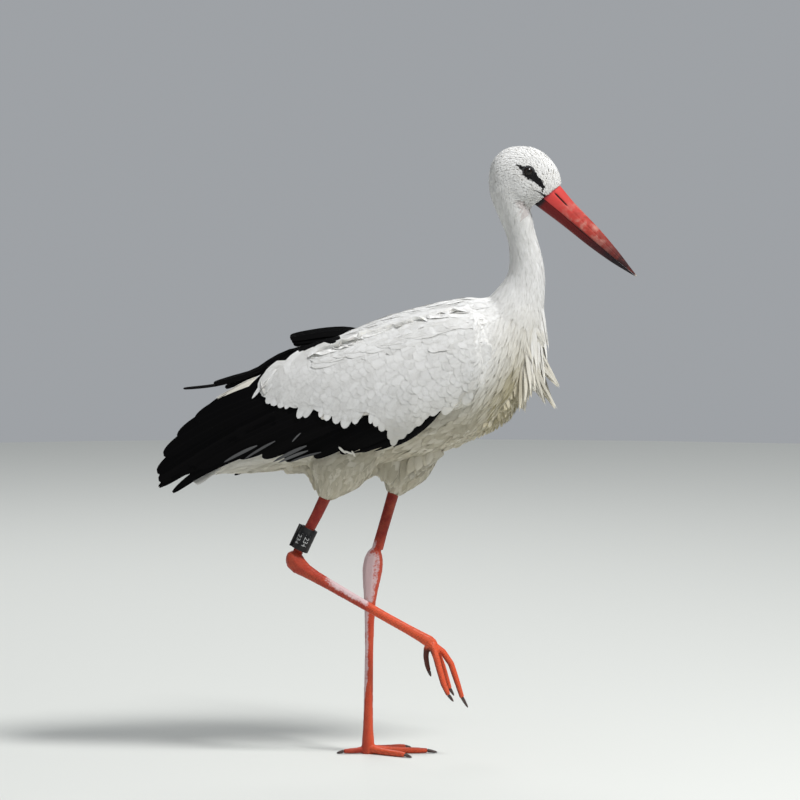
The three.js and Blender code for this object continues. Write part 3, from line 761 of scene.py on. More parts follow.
def on_thigh(points, top=0.43):
    """Either thigh under a height, the left one a little in front of the lifted right one."""
    hip = np.where(points[:, 1] > 0, 0.048, -0.032)
    return (points[:, 2] < top) & (np.abs(points[:, 0] - hip) < 0.06) & (np.abs(points[:, 1]) > 0.012)


def on_trunk(points):
    """The body's feathered parts under the neck, off the folded wings and the thighs."""
    return (over_cut(points, NECK_FOOT) < 6 * MM) & ~under_wing(points) & ~on_thigh(points, 0.405)


def hang(points):
    """Plumes and thigh feathers point down, a little backwards."""
    return np.tile((-0.22, 0, -1.0), (len(points), 1))


def breast_hang(points):
    """Down the spine, with the pull of gravity added."""
    return lie_of_coat(points) + np.array((0, 0, -0.8))


def on_shoulder(points):
    """The long feathers over the top of the folded wing, which cover the roots of its coverts."""
    high = np.interp(points[:, 0], WING_HIGH[:, 0], WING_HIGH[:, 1])
    return (np.abs(points[:, 1]) > 0.024) & (points[:, 2] > high) & (np.abs(points[:, 0] - 0.07) < 0.115)


def past_wing(points):
    """The back behind the shoulder feathers, over which the black inner feathers of the wings lie."""
    return (points[:, 0] < -0.045) & (points[:, 0] > -0.13)


def on_back(points):
    """The back between the wings, in front of their black inner feathers."""
    upper = (points[:, 2] > 0.5) & (points[:, 0] < 0.18)
    return on_trunk(points) & ~on_shoulder(points) & ~past_wing(points) & upper


coat("coat_back", "white_feathers", on_back, 6.5 * MM, 42 * MM, 8.5 * MM, 2.8, 31, stations=6,
     depth=1.2 * MM, rise=0.4 * MM, thick=0.15 * MM, calm=0.9)
coat("coat_shoulders", "white_feathers", lambda p: on_trunk(p) & on_shoulder(p), 6.0 * MM, 42 * MM, 8.5 * MM,
     3.0, 35, stations=7, depth=0.8 * MM, rise=0.5 * MM, thick=0.15 * MM, wander=0.06, calm=0.92)
coat("coat_belly", "cream_feathers", lambda p: on_trunk(p) & (p[:, 2] <= 0.5) & (p[:, 0] < 0.18), 6.0 * MM,
     42 * MM, 7.0 * MM, 2.4, 41, stations=6, depth=1.6 * MM, rise=0.5 * MM, thick=0.18 * MM, wander=0.12,
     droop=1.5 * MM, calm=0.9)
coat("coat_breast", "cream_feathers", lambda p: on_trunk(p) & (p[:, 0] >= 0.165), 5.0 * MM, 44 * MM,
     3.6 * MM, 1.6, 51, stations=7, depth=1.8 * MM, rise=1.0 * MM, thick=0.2 * MM, lie=breast_hang,
     wander=0.1, droop=1.5 * MM, calm=0.85)
for number, side in enumerate(SIDES):
    coat(f"coat_thigh_{side}", "cream_feathers", lambda p, s=SIDES[side]: on_thigh(p) & (p[:, 1] * s > 0),
         4.5 * MM, 32 * MM, 4.6 * MM, 1.8, 61 + 7 * number, stations=6, depth=1.6 * MM, rise=0.6 * MM,
         thick=0.18 * MM, lie=hang, wander=0.1, droop=2 * MM, calm=0.88, nodes=(f"thigh_{side}",))

# %% [markdown]
# Between and around the thighs the belly's longest feathers hang free as a skirt. They and the plumes of the
# breast are set one by one: a root on the body, a direction and a length. A shaft bows outwards by the
# share of its length minus the square of that share, so it leaves the body and comes back towards its line.

# %% Skirt of the belly
def free_feathers(name, slot, roots, aims, facing, length, half, bow, seed, tip=1.7, stations=8,
                  section=DIAMOND, thick=0.25 * MM, calm=0.8, nodes=()):
    """Feathers that leave the body: a shaft follows its aim and bows out by bow * (share - share^2)."""
    rng = np.random.default_rng(seed)
    share = stations_along(stations)
    run = aims[:, None] * (length[:, None] * share)[..., None]
    facing = unit(facing - aims * np.einsum("ij,ij->i", facing, aims)[:, None])
    swing = (bow[:, None] * (share - share ** 2))[..., None] * facing[:, None]
    shafts = roots[:, None] + run + swing
    normals = np.repeat(facing[:, None], stations, 1)
    sections, share = leaves_on(shafts, normals, half, thick, tip, section, 0.15)
    marks, seeds = {"cream": cream_and_under_shade(roots)}, rng.random(len(roots))
    dress(make_feathers(name, sections, share, section[:, 0], seeds, roots, marks, normals, calm), slot,
          *nodes)


SKIRT_COUNT = 800
rng = np.random.default_rng(68)
skirt_share = rng.uniform(0, 1, SKIRT_COUNT)
# Along the belly: x, height of the roots, and of the hem that the tips reach
SKIRT = np.array([(-110, 418, 402), (-95, 412, 399), (-82, 410, 388), (-64, 408, 366), (-40, 408, 368),
                  (-16, 408, 383), (8, 410, 385), (26, 412, 384), (42, 414, 366), (60, 418, 372),
                  (77, 424, 388), (100, 436, 410)]) * MM
skirt_x = SKIRT[0, 0] + (SKIRT[-1, 0] - SKIRT[0, 0]) * skirt_share
skirt_high, skirt_low = (np.interp(skirt_x, SKIRT[:, 0], SKIRT[:, k]) for k in (1, 2))
skirt_y = rng.uniform(-1, 1, SKIRT_COUNT) * 30 * MM
skirt_roots, skirt_out = snap(columns(skirt_x, skirt_y, skirt_high - 12 * MM))
skirt_drop = skirt_roots[:, 2] - skirt_low
skirt_length = np.clip(skirt_drop * rng.uniform(0.75, 1.0, SKIRT_COUNT), 10 * MM, 44 * MM)
skirt_aim = unit(0.1 * skirt_out + np.array((-0.3, 0, -1.0)) + rng.normal(0, 0.06, (SKIRT_COUNT, 3)))
free_feathers("skirt_belly", "cream_feathers", skirt_roots - 2 * MM * skirt_out, skirt_aim,
              columns(0.1, np.sign(skirt_y), -0.1), skirt_length, rng.uniform(5, 8, SKIRT_COUNT) * MM,
              np.full(SKIRT_COUNT, 6 * MM), 69, tip=2.0, calm=0.92)

# %% [markdown]
# The breast's plumes are rooted along a line down its front, spread to both sides by a half width that
# changes down the line, and each reaches just to the hem. Under the body they slant backwards.

# %% Plumes of the breast
PLUME_COUNT = 1000
rng = np.random.default_rng(71)
plume_drop = rng.random(PLUME_COUNT)
plume_side = rng.uniform(-1, 1, PLUME_COUNT)
PLUME_ROOTS = np.array([(228, 632), (232, 590), (232, 550), (222, 515), (195, 480), (160, 462),
                        (125, 446)]) * MM
plume_line = smooth_rows(PLUME_ROOTS, 200)[(plume_drop * 199).astype(int)]
plume_half = np.interp(plume_drop, [0, 0.2, 0.5, 1], [16, 34, 42, 30]) * MM
plume_roots, plume_out = snap(columns(plume_line[:, 0] - 0.5 * plume_half * plume_side ** 2,
                                      plume_half * plume_side, plume_line[:, 1]))
plume_back = 1 - ease(plume_roots[:, :1], 0.13, 0.20)
plume_aim = unit(plume_out * rng.uniform(0.02, 0.12, (PLUME_COUNT, 1)) + np.array((-0.06, 0, -1.0))
                 + plume_back * np.array((-0.9, 0, 0.35)) + rng.normal(0, 0.07, (PLUME_COUNT, 3)))
# Where the loose ends reach down to, from the belly to the front of the breast
PLUME_HEM = np.array([(110, 440), (130, 446), (146, 456), (152, 450), (160, 452), (168, 466), (185, 471),
                      (193, 486), (202, 493), (214, 478), (222, 498), (232, 503), (245, 505)]) * MM
above_hem = plume_roots[:, 2] - np.interp(plume_roots[:, 0], PLUME_HEM[:, 0], PLUME_HEM[:, 1])
plume_length = np.clip(above_hem - rng.uniform(-2, 14, PLUME_COUNT) * MM, 14 * MM, 66 * MM)
print("plumes reach down to", round(PLUME_HEM[:, 1].min(), 3), "m")

# %% [markdown]
# The wind lifts some plumes forward in locks. The plumes of a lock start spread out and run together at its
# tip. They and the hanging plumes make one piece.

# %% Locks in the wind
# root x and z, tip x and z, half thickness of the lock, number of plumes
WIND_LOCKS = np.array([(218, 566, 263, 512, 5, 100), (205, 566, 244, 489, 9, 150),
                       (212, 560, 258, 482, 7, 130), (206, 548, 216, 478, 8, 100),
                       (226, 590, 245, 566, 6, 60), (180, 530, 186, 470, 8, 80),
                       (150, 500, 157, 450, 8, 70)])
lock_rows = np.repeat(WIND_LOCKS[:, :5] * MM, WIND_LOCKS[:, 5].astype(int), axis=0)
lock_count = len(lock_rows)
lock_side = rng.uniform(-1, 1, lock_count)
slip = rng.uniform(0, 1, (lock_count, 1)) ** 1.5
lock_tips = columns(lock_rows[:, 2], 3 * lock_side * lock_rows[:, 4], lock_rows[:, 3])
lock_roots = columns(lock_rows[:, 0], 5 * lock_side * lock_rows[:, 4], lock_rows[:, 1])
lock_roots += rng.normal(0, 1, (lock_count, 3)) * lock_rows[:, 4:] * (1, 0, 1)
lock_tips += (lock_roots - lock_tips) * 0.3 * slip + rng.normal(0, 1.2 * MM, (lock_count, 3))
lock_run = lock_tips - lock_roots

all_length = np.concatenate([plume_length, np.linalg.norm(lock_run, axis=1)])
all_half = np.concatenate([rng.uniform(2.2, 4.0, PLUME_COUNT), rng.uniform(1.3, 2.6, lock_count)]) * MM
plume_facing = plume_out * (1, 1.6, 0.2) + rng.normal(0, 0.12, (PLUME_COUNT, 3))
lock_facing = columns(0.35, np.sign(lock_side), 0.1)
free_feathers("plumes_breast", "cream_feathers",
              np.concatenate([plume_roots - 2 * MM * plume_out, lock_roots]),
              np.concatenate([plume_aim, unit(lock_run)]), np.concatenate([plume_facing, lock_facing]),
              all_length, all_half, rng.uniform(0, 5, len(all_length)) * MM, 72, nodes=("breast_plumes",))

# %% [markdown]
# ## The folded wing
# A folded wing is nearly a flat fan seen from the side, so its feathers are drawn in side view: a root, an
# angle, a length and a bend. A formula then lays every point on the wing's bulging outer face: its distance
# from the middle plane is the wing's half width there times sqrt(1 - h^2.2), where h is the height over the
# wing's widest line as a share of the wing's reach. Each row of feathers has its own heights over that face.

# %% The wing's outer face
# x, height of the widest line, half width, reach over and under that line
FLANK = np.array([(-300, 385, 25, 70, 60), (-240, 415, 41, 90, 70), (-180, 440, 61.5, 110, 75),
                  (-120, 460, 78.8, 118, 85), (-60, 472, 88.8, 125, 90), (0, 482, 93.8, 128, 92),
                  (60, 500, 92.8, 125, 95), (110, 525, 84.8, 110, 90), (140, 544, 75.5, 92, 82),
                  (165, 560, 62, 72, 74)]) * MM
LEFT_DROP = np.array([(-300, -7), (-225, -7), (-175, 0), (150, 0)]) * MM


def wing_face(side, x, z, out):
    """Points on the wing's outer face from side-view places and heights over the face."""
    middle, wide, over, under = (np.interp(x, FLANK[:, 0], FLANK[:, k]) for k in (1, 2, 3, 4))
    height = np.minimum(np.abs(z - middle) / np.where(z > middle, over, under), 0.94)
    y = wide * np.sqrt(1 - height ** 2.2) + out
    drop = np.interp(x, LEFT_DROP[:, 0], LEFT_DROP[:, 1]) * (side > 0)
    return columns(x, side * y, z + drop)


def face_normal(side, x, z):
    """The way that the wing's face looks: the cross product of its slopes along x and along z."""
    near = 2 * MM
    along_x = wing_face(side, x + near, z, 0) - wing_face(side, x - near, z, 0)
    along_z = wing_face(side, x, z + near, 0) - wing_face(side, x, z - near, 0)
    return unit(np.cross(along_x, along_z) * side * -1)


def wing_feathers(name, slot, side, roots, angles, length, half, out, tip, seed, bend=0.0, stations=6,
                  section=DIAMOND, thick=0.3 * MM, camber=0.02, calm=0.85, nodes=(), strips=False):
    """Leaves laid on the wing's face.

    roots are side-view places, angles the directions in degrees at the root, and bend the turn by the tip.
    A shaft's points add up steps along the turning direction. out gives each feather's height over the face
    at its root and tip.
    """
    rng = np.random.default_rng(seed)
    count = len(roots)
    share = stations_along(stations)
    heading = np.radians(angles[:, None] + np.broadcast_to(bend, count)[:, None] * share)
    step = columns(np.cos(heading), np.sin(heading))
    pace = (length[:, None] * np.diff(share))[..., None] * 0.5 * (step[:, 1:] + step[:, :-1])
    line = roots[:, None] + np.concatenate([np.zeros((count, 1, 2)), np.cumsum(pace, 1)], 1)
    across_way = columns(-step[..., 1], step[..., 0])
    width = half[:, None] * leaf_width(share, tip)[None]
    across, over = section[:, 0], section[:, 1]
    flat = line[:, :, None] + across_way[:, :, None] * (width[:, :, None] * across)[..., None]
    base = out[0][:, None] + (out[1] - out[0])[:, None] * share
    lift = base[:, :, None] + thick * over - camber * width[:, :, None] * across ** 2
    sections = wing_face(side, flat[..., 0], flat[..., 1], lift)
    home = sections[:, 0].mean(1)
    marks = {"cream": cream_and_under_shade(sections[:, stations // 2].mean(1)) * 0.5}
    facing = face_normal(side, line[..., 0], line[..., 1])
    piece = make_feathers(name, sections, share, across, rng.random(count), home, marks, facing, calm)
    if strips:
        lay_strips(piece, count, across, share)
    dress(piece, slot, *nodes)


def lay_strips(piece, count, across, share):
    """For long feathers the map OFBake gives each its own strip, side by side."""
    middle = (np.arange(count)[:, None] + 0.5) / count
    u = middle + 0.44 * np.tile(across, len(share)) / count
    v = np.tile(0.02 + 0.96 * np.repeat(share, len(across)), (count, 1))
    ends = np.tile((0.01, 0.99), (count, 1))
    write_map(piece, columns(np.hstack([u, middle, middle]), np.hstack([v, ends])))


print("wing helpers ready")

# %% [markdown]
# White coverts shingle the front and middle of the wing in staggered rows, and the longest of them end in
# a ragged border on the black. Their direction turns from backwards at the top to almost straight down at
# the border. The border is a short list of places where tips reach.

# %% Coverts and scapulars
BORDER = np.array([(-146, 500), (-134, 492), (-124, 491), (-115, 487), (-110, 490), (-106, 495), (-102, 488),
                   (-98, 477), (-84, 477), (-78, 488), (-74, 498), (-70, 490), (-66, 477), (-51, 472),
                   (-41, 468), (-30, 466), (-18, 468), (-12, 476), (-6, 482), (0, 477), (5, 470), (18, 461),
                   (27, 446), (36, 440), (47, 447), (57, 456), (65, 464), (73, 471), (86, 478), (110, 484),
                   (135, 492), (155, 507), (168, 540)]) * MM
UPPER_EDGE = np.array([(-148, 514), (-140, 527), (-132, 540), (-121, 551), (-100, 563), (-74, 571),
                       (-50, 578), (0, 593), (55, 608), (100, 618), (135, 622), (157, 610), (170, 585)]) * MM


def covert_angle(x, share):
    """Directions in degrees: near 250 at the border (share 0), near 200 along the back (share 1)."""
    low = np.interp(x, np.array([-150, -110, -60, 0, 40, 80, 150]) * MM, [222, 235, 248, 254, 249, 235, 215])
    high = np.interp(x, np.array([-150, -110, -60, 0, 150]) * MM, [232, 218, 205, 199, 196])
    return low + (high - low) * ease(share, 0.1, 0.95)


def covert_field(seed):
    """Staggered rows of coverts from the wing's front edge back, kept clear of the border's notches."""
    rng = np.random.default_rng(seed)
    row, place = np.meshgrid(np.arange(14), np.arange(32), indexing="ij")
    share = (0.98 - row / 14).ravel()
    x = (168 - 9.8 * (place.ravel() + 0.5 * (row.ravel() % 2))) * MM + rng.normal(0, 2.2 * MM, share.size)
    low = np.interp(x, BORDER[:, 0], BORDER[:, 1]) + 24 * MM
    high = np.interp(x, UPPER_EDGE[:, 0], UPPER_EDGE[:, 1]) - 12 * MM
    z = low + share * (high - low) + rng.normal(0, 2.2 * MM, share.size)
    keep = (x > -0.119) & (high > low)
    x, z, share = x[keep], z[keep], share[keep]
    front = ease(x, 0.05, 0.16)
    length = (44 - 20 * front - 6 * (1 - share)) * MM * rng.uniform(0.85, 1.12, len(x))
    half = (12.5 - 5 * front) * MM * rng.uniform(0.85, 1.15, len(x))
    angles = covert_angle(x, share) + rng.normal(0, 4.5, len(x))
    aim = np.radians(angles + 3)
    clear = np.max([np.interp(x + length * np.cos(aim) + shift * MM, BORDER[:, 0], BORDER[:, 1])
                    for shift in (-8, -4, 0, 4, 8)], axis=0) + 5 * MM
    length = np.minimum(length, np.maximum((clear - z) / np.sin(aim), 16 * MM))
    return columns(x, z), angles, length, half


# Tips of the longest coverts: x, z and half width
GREATER_TIPS = np.array([(-142, 496, 7), (-132, 492, 8), (-122, 490, 7), (-115.5, 487, 5.5), (-97, 476, 6.5),
                         (-87, 475, 6.5), (-66, 477, 5), (-58, 474, 7), (-46, 470, 8), (-33, 466, 8.5),
                         (-20, 468, 7), (4, 472, 5), (10, 465, 7), (19, 460, 8), (28, 445, 7), (36, 439, 7),
                         (46, 446.5, 7), (56, 456, 7), (66, 466, 7), (75, 473, 7), (88, 480, 7),
                         (102, 484, 7), (116, 489, 7), (130, 495, 7), (142, 503, 7)]) * MM

for name, side in SIDES.items():
    roots, angles, length, half = covert_field(81 + side)
    count = len(roots)
    wing_feathers(f"wing_{name}_lesser_coverts", "white_feathers", side, roots, angles, length, half,
                  (np.full(count, -0.5 * MM), np.full(count, 0.4 * MM)), 3.2, 83 + side, bend=6.0, stations=7,
                  thick=0.12 * MM, calm=0.93, nodes=(f"wing_{name}_coverts",))

    # Three ranks of long coverts: the outermost reach the border, and two lie beneath, a little shorter
    rng = np.random.default_rng(91 + side)
    tips = np.concatenate([GREATER_TIPS[:, :2] + np.array((5 * rank, 8 * rank)) * MM for rank in range(3)])
    tips += rng.normal(0, 1.3 * MM, tips.shape)
    half = np.concatenate([GREATER_TIPS[:, 2] * (1 + 0.1 * rank) for rank in range(3)])
    rank = np.repeat(np.arange(3), len(GREATER_TIPS))
    angles = covert_angle(tips[:, 0], 0) + rng.normal(0, 1.5, len(tips))
    length = np.interp(tips[:, 0], np.array([-150, 30, 90, 150]) * MM, [62, 60, 36, 26]) * MM
    aim = np.radians(angles + 3)
    roots = tips - length[:, None] * columns(np.cos(aim), np.sin(aim))
    wing_feathers(f"wing_{name}_greater_coverts", "white_feathers", side, roots, angles, length, half,
                  ((-0.8 - 0.2 * rank) * MM, (0.3 - 0.3 * rank) * MM), 3.4, 93 + side, bend=6.0, stations=10,
                  section=VANE, thick=0.16 * MM, camber=0.03, calm=0.9)

# %% [markdown]
# Under the shoulder feathers one long, narrow white feather slips out behind the coverts and lies across the
# black, and single feathers have lost their place: they are what makes a folded wing look alive.

# %% Strays
# side-view root x and z, tip x and z, half width, height over the face
STRAYS = {
    "white": [(-126, 541, -159, 501, 3.0, 0.6), (-130, 538, -157, 504, 2.2, 0.4)],
    "cream": [(-40, 437, -30, 427, 1.7, 1.2), (-33, 431, -19, 426, 1.5, 1.3), (-22, 431, -17, 422, 1.4, 1.4)],
    # Silver-grey outer webs of secondaries: paler webs, with a painted sheen in their grey
    "silver": [(-152, 437, -198, 412, 2.2, 0.4), (-127, 444, -170, 417, 1.7, 0.6),
               (-84, 438, -130, 414, 2.5, 0.0), (-82, 431, -123, 413, 2.1, 0.2),
               (-64, 429, -106, 415, 1.6, 0.3), (-92, 456, -104, 443, 1.1, 0.4)],
}
for tone, rows in STRAYS.items():
    table = np.array(rows) * MM
    run = table[:, 2:4] - table[:, :2]
    angles = np.degrees(np.arctan2(run[:, 1], run[:, 0])) % 360 - 4
    slot = "black_feathers" if tone == "silver" else f"{tone}_feathers"
    wing_feathers(f"stray_{tone}_feathers", slot, -1, table[:, :2], angles, np.linalg.norm(run, axis=1),
                  table[:, 4], (table[:, 5], table[:, 5]), 2.4, 97, bend=8.0, stations=10, section=VANE)

# %% [markdown]
# The black flight feathers: secondaries fan out from under the coverts, each one lying over the next one
# below, so that the lower edge of the wing steps from blunt tip to blunt tip. The primaries lie under them,
# and only their points show behind. The outer edges of some secondaries are silver-grey: paler webs with a
# painted sheen.

# %% Secondaries and primaries
# root x and z, tip x and z, half width, from the lowest feather to the highest
SECONDARIES = np.array([(70, 470, -10, 430, 9), (60, 474, -38, 427, 10), (50, 478, -74, 421, 11),
                        (30, 482, -114, 416, 12), (10, 484, -145, 420, 12), (-10, 488, -178, 419, 13),
                        (-25, 492, -208, 413, 13), (-40, 496, -236, 403, 14), (-55, 498, -260, 394, 14),
                        (-65, 502, -278, 387, 15), (-75, 505, -288, 383, 15), (-85, 508, -290, 394, 16),
                        (-95, 511, -281, 418, 16), (-105, 514, -262, 443, 15),
                        (-112, 517, -238, 466, 14)]) * MM
PRIMARIES = np.array([(-60, 452, -266, 370, 7), (-60, 454, -270, 367.5, 8), (-60, 460, -284, 377, 9),
                      (-60, 462, -289, 375, 9)]) * MM
SECONDARIES[:, :2] += 0.12 * (SECONDARIES[:, :2] - SECONDARIES[:, 2:4])


def flight_row(name, side, table, bow, heights, tip, seed, step=0.0, camber=0.02, nodes=()):
    """A row of black feathers from a table of roots, tips and half widths, whose shafts bow by degrees.

    heights are those of the first feather's root and tip over the wing's face, in millimetres, and each
    feather lies one step higher than the last. A shaft of length s that bows by the angle b spans
    s * (1 - b^2 / 24), so it is made longer than its span by as much.
    """
    run = table[:, 2:4] - table[:, :2]
    angles = np.degrees(np.arctan2(run[:, 1], run[:, 0])) % 360 - bow / 2
    length = np.linalg.norm(run, axis=1) * (1 + math.radians(bow) ** 2 / 24)
    rise = step * MM * np.arange(len(table))
    wing_feathers(name, "black_feathers", side, table[:, :2], angles, length, table[:, 4],
                  [rise + height * MM for height in heights], tip, seed, bend=bow, stations=18, section=VANE,
                  camber=camber, calm=0.4, nodes=nodes, strips=True)


# The short black feathers of the wing's bend, which edge the coverts in front of the secondaries
BEND_EDGE = np.array([(104, 494, 34, 435.5, 3.4), (98, 489, 8, 429.5, 3.6), (90, 482, -24, 427, 4)]) * MM

for name, side in SIDES.items():
    flight_row(f"bend_{name}_feathers", side, BEND_EDGE, -30.0, (-2.0, -2.4), 2.0, 107 + side)
    flight_row(f"secondaries_{name}", side, SECONDARIES, 16.0, (-3.8, -3.4), 3.6, 101 + side, step=0.15,
               camber=0.03, nodes=(f"wing_{name}_secondaries",))
    flight_row(f"primaries_{name}", side, PRIMARIES, 36.0, (-5.2, -4.8), 2.6, 111 + side, step=0.25,
               camber=0.03, nodes=(f"wing_{name}_primaries",))

# %% [markdown]
# The inner flight feathers, the tertials, lie beside the spine. On the left wing some stand up with square
# ends over the back, and one thin feather sticks out behind. They are free vanes in space: a shaft through a
# few points, a width, and the way that the flat of the vane faces.

# %% Tertials
def free_vanes(name, slot, paths, half, face, tip, seed, stations=14, thick=0.7 * MM, camber=0.10, nodes=(),
               cream=0.0):
    """Long vanes along smooth paths of a few points. face is the direction that each vane's flat looks to."""
    rng = np.random.default_rng(seed)
    count = len(paths)
    rows = np.round(stations_along(stations) * 199).astype(int)
    shafts = np.stack([smooth_rows(path, 200)[rows] for path in paths])
    normals = np.broadcast_to(unit(np.asarray(face, float)).reshape(-1, 1, 3), shafts.shape)
    sections, share = leaves_on(shafts, normals, np.broadcast_to(half, count), thick, tip, VANE, camber)
    marks = {"cream": np.full(count, cream)}
    piece = make_feathers(name, sections, share, VANE[:, 0], rng.random(count), shafts[:, 0], marks)
    lay_strips(piece, count, VANE[:, 0], share)
    dress(piece, slot, *nodes)


def top_of_form(x, y):
    """A point on the form's top, found by a ray sent straight down."""
    hit = form_tree.ray_cast(Vector((x * MM, y * MM, 0.7)), Vector((0, 0, -1)))
    return np.array(hit[0])


RAISED = [np.array([(-15 - 6 * k, 40, 586 - 5 * k), (-60 - 3 * k, 40, 583 - 5 * k),
                    (-108 + 2 * k, 40, 575 - 3 * k)]) * MM for k in range(3)]
BAND = [np.array([(-45, 44, 570 - 6 * k), (-100, 45, 558 - 6 * k), (-128, 46, 546 - 6 * k),
                  (-156, 47, 528 - 6 * k),
                  (-186 + 6 * k, 46, 519 - 6 * k), (-214 + 16 * k, 46, 511 - 6 * k)]) * MM for k in range(2)]
THIN = [np.array([(-150, 44, 527), (-205, 44, 510), (-256, 42, 504)]) * MM]
free_vanes("tertials_left", "black_feathers", [*RAISED, *BAND, *THIN], np.array([8, 9, 9, 4.5, 5, 2.6]) * MM,
           (0.1, -0.75, 0.65), 5.0, 121, nodes=("wing_left_tertials",))

# Over the back: one vane beside the next, from the spine out to either wing
back_sides = np.array([-46, -38, -30, -22, -14, -6, 2, 10, 18, 26, 34, 42])
back_paths = [np.array([top_of_form(x, y) + (0, 0, lift * MM) for x, lift in
                        ((-32, -1.5), (-62, -0.5), (-92, 1.0), (-118, 2.0), (-140 - 0.2 * abs(y), 2.5))])
              for y in back_sides]
free_vanes("tertials_back", "black_feathers", back_paths, 8.5 * MM, columns(0.15, back_sides / 60.0, 0.8),
           4.0, 128, thick=0.4 * MM, camber=0.03)

# On the right wing a narrow black edge frames the white coverts from above and behind
FRAME = np.array([(-38, 584, -180, 492, 5.5), (-44, 580, -172, 487, 6), (-50, 574, -165, 482, 7)]) * MM
flight_row("tertials_right", -1, FRAME, 36.0, (-1.6, -2.2), 3.0, 131, nodes=("wing_right_tertials",))

# %% [markdown]
# The pale rump swells between the wings, and under it the tail is a narrow fan of twelve blunt feathers. Two
# small black feathers have come loose: one under the tail, one at the edge of the breast.

# %% Rump, loose feathers and tail
rump_sides = np.linspace(-36, 26, 14)
rump_paths = [np.array([(-118, y, 530 - 0.25 * abs(y)), (-160, y, 523 - 0.3 * abs(y)),
                        (-207 + 3 * math.sin(5.0 * y), 0.9 * y,
                         496 - 0.3 * abs(y))]) * MM for y in rump_sides]
# The rump's cream tint is painted shade, where the wings shade it
free_vanes("rump_feathers", "white_feathers", rump_paths, 8 * MM, columns(0.3, rump_sides / 40.0, 0.9), 2.4,
           137, thick=0.3 * MM, camber=0.05, cream=0.5)

LOOSE = [np.array([(-158, 22, 396), (-171, 22, 392), (-185, 20, 386)]) * MM,
         np.array([(127, 6, 462), (133, 6, 454), (136, 6, 446)]) * MM]
free_vanes("stray_black_feathers", "black_feathers", LOOSE, np.array([2.6, 2.8]) * MM, (0, -1, 0.2), 2.4,
           139, stations=10, thick=0.3 * MM)

tail_spread = np.linspace(-1, 1, 12)
tail_paths = [np.array([(-150, 14 * s, 446), (-205, 19 * s, 411 - 4 * abs(s)),
                        (-247 + 8 * abs(s), 22 * s, 384 - 4 * abs(s))]) * MM for s in tail_spread]
free_vanes("tail_feathers", "white_feathers", tail_paths, 11 * MM, columns(0.45, 0.25 * tail_spread, 0.9),
           4.0, 141, nodes=("tail",), cream=0.15)

# %% [markdown]
# ## Bill
# The bill is a long spear of horn in two halves. Each half is a loft: along the bill a table gives how far
# it reaches up, down and to the side, and round it the section is a superellipse, |y/w|^p + |z/h|^p = 1,
# cut off at the gape. A slit for the nostril and the line of the horn's grooves are pressed in along it.

# %% Upper and lower mandible
BILL_BASE = np.array([247.3, 776.0]) * MM
BILL_LENGTH = 168 * MM
BILL_SLOPE = math.radians(42.4)
BILL = np.array([(-0.1, 23, 22.5, 14.4), (0.02, 21.4, 20.5, 13.4), (0.18, 17.6, 17.8, 11.4),
                 (0.31, 16, 16, 10.2), (0.52, 13.4, 13.6, 8.3), (0.74, 8.5, 9.3, 5.9), (0.9, 3.6, 4.2, 3.3),
                 (0.985, 1, 1, 1.1)])
GAPE = np.array([(-0.2, -7), (0, -6.6), (0.18, -5.2), (0.4, -5), (0.6, -3.2), (1.05, 0.2)])
BILL_POWER = 1.9


def mandible(name, upper):
    """Half of the bill as a closed loft, with values for its finish: share along it and height round it."""
    rings, sides = 150, 110
    share, high, low, wide = smooth_rows(BILL, rings).T
    high, low, wide = (reach[:, None] * MM for reach in (high, low, wide))
    gape = np.interp(share, GAPE[:, 0], GAPE[:, 1])[:, None] * MM
    gap = 0.25 * MM
    start = np.arcsin(np.clip(np.abs(gape) / low, 0, 0.95) ** (BILL_POWER / 2)) * (-1 if upper else 1)
    turn = start + (np.pi - 2 * start) * np.linspace(0, 1, sides)
    y, z = (np.sign(wave) * np.abs(wave) ** (2 / BILL_POWER) for wave in (np.cos(turn), np.sin(turn)))
    y = y * wide
    inset = slit = np.zeros_like(y)
    if upper:
        z = np.maximum(np.where(z < 0, z * low, z * high), gape + gap)
        rise = z / high
        slit = np.exp(-((share[:, None] - 0.10) / 0.078) ** 6) * np.exp(-((rise - 0.44) / 0.055) ** 2)
        crease = 0.3 * ease(share, 0.15, 0.3)[:, None] * np.exp(-((rise - 0.40) / 0.06) ** 2)
        inset = (1.6 * slit + crease) * MM
    else:
        z = np.minimum(-z * low, gape - gap)
    y = y - np.sign(y) * np.minimum(inset, 0.8 * np.abs(y))
    x = share[:, None] * BILL_LENGTH
    cos, sin = math.cos(-BILL_SLOPE), math.sin(-BILL_SLOPE)
    points = columns(BILL_BASE[0] + x * cos - z * sin, y, BILL_BASE[1] + x * sin + z * cos)
    level = z / np.maximum(np.where(z > 0, high, low), 0.01 * MM)
    # The horn starts just inside the feathers' edge, square to the bill
    kept = share > -0.045
    along = np.repeat(share[kept], sides)
    return loft(name, points[kept], {"along": np.append(along, along[[0, -1]]),
                                     "level": np.append(level[kept], (0, 0)),
                                     "slit": np.append(slit[kept], (0, 0))})


dress(mandible("bill_upper_horn", True), "bill_horn", "bill_upper")
dress(mandible("bill_lower_horn", False), "bill_horn", "bill_lower")

# %% [markdown]
# ## Eyes and lids
# A stork's eye is dark brown, nearly black, and sits in bare black skin. The ball is a true sphere where the
# frame has it. The lids are a ring of surface: its inner edge is an almond that lies on the ball, a small
# roll follows, and its outer edge sinks under the feathers of the face.

# %% Eyeballs and lids
BALL = 7 * MM
EYE_SIDE = 19.3 * MM
LID_LEAN = math.radians(-22)


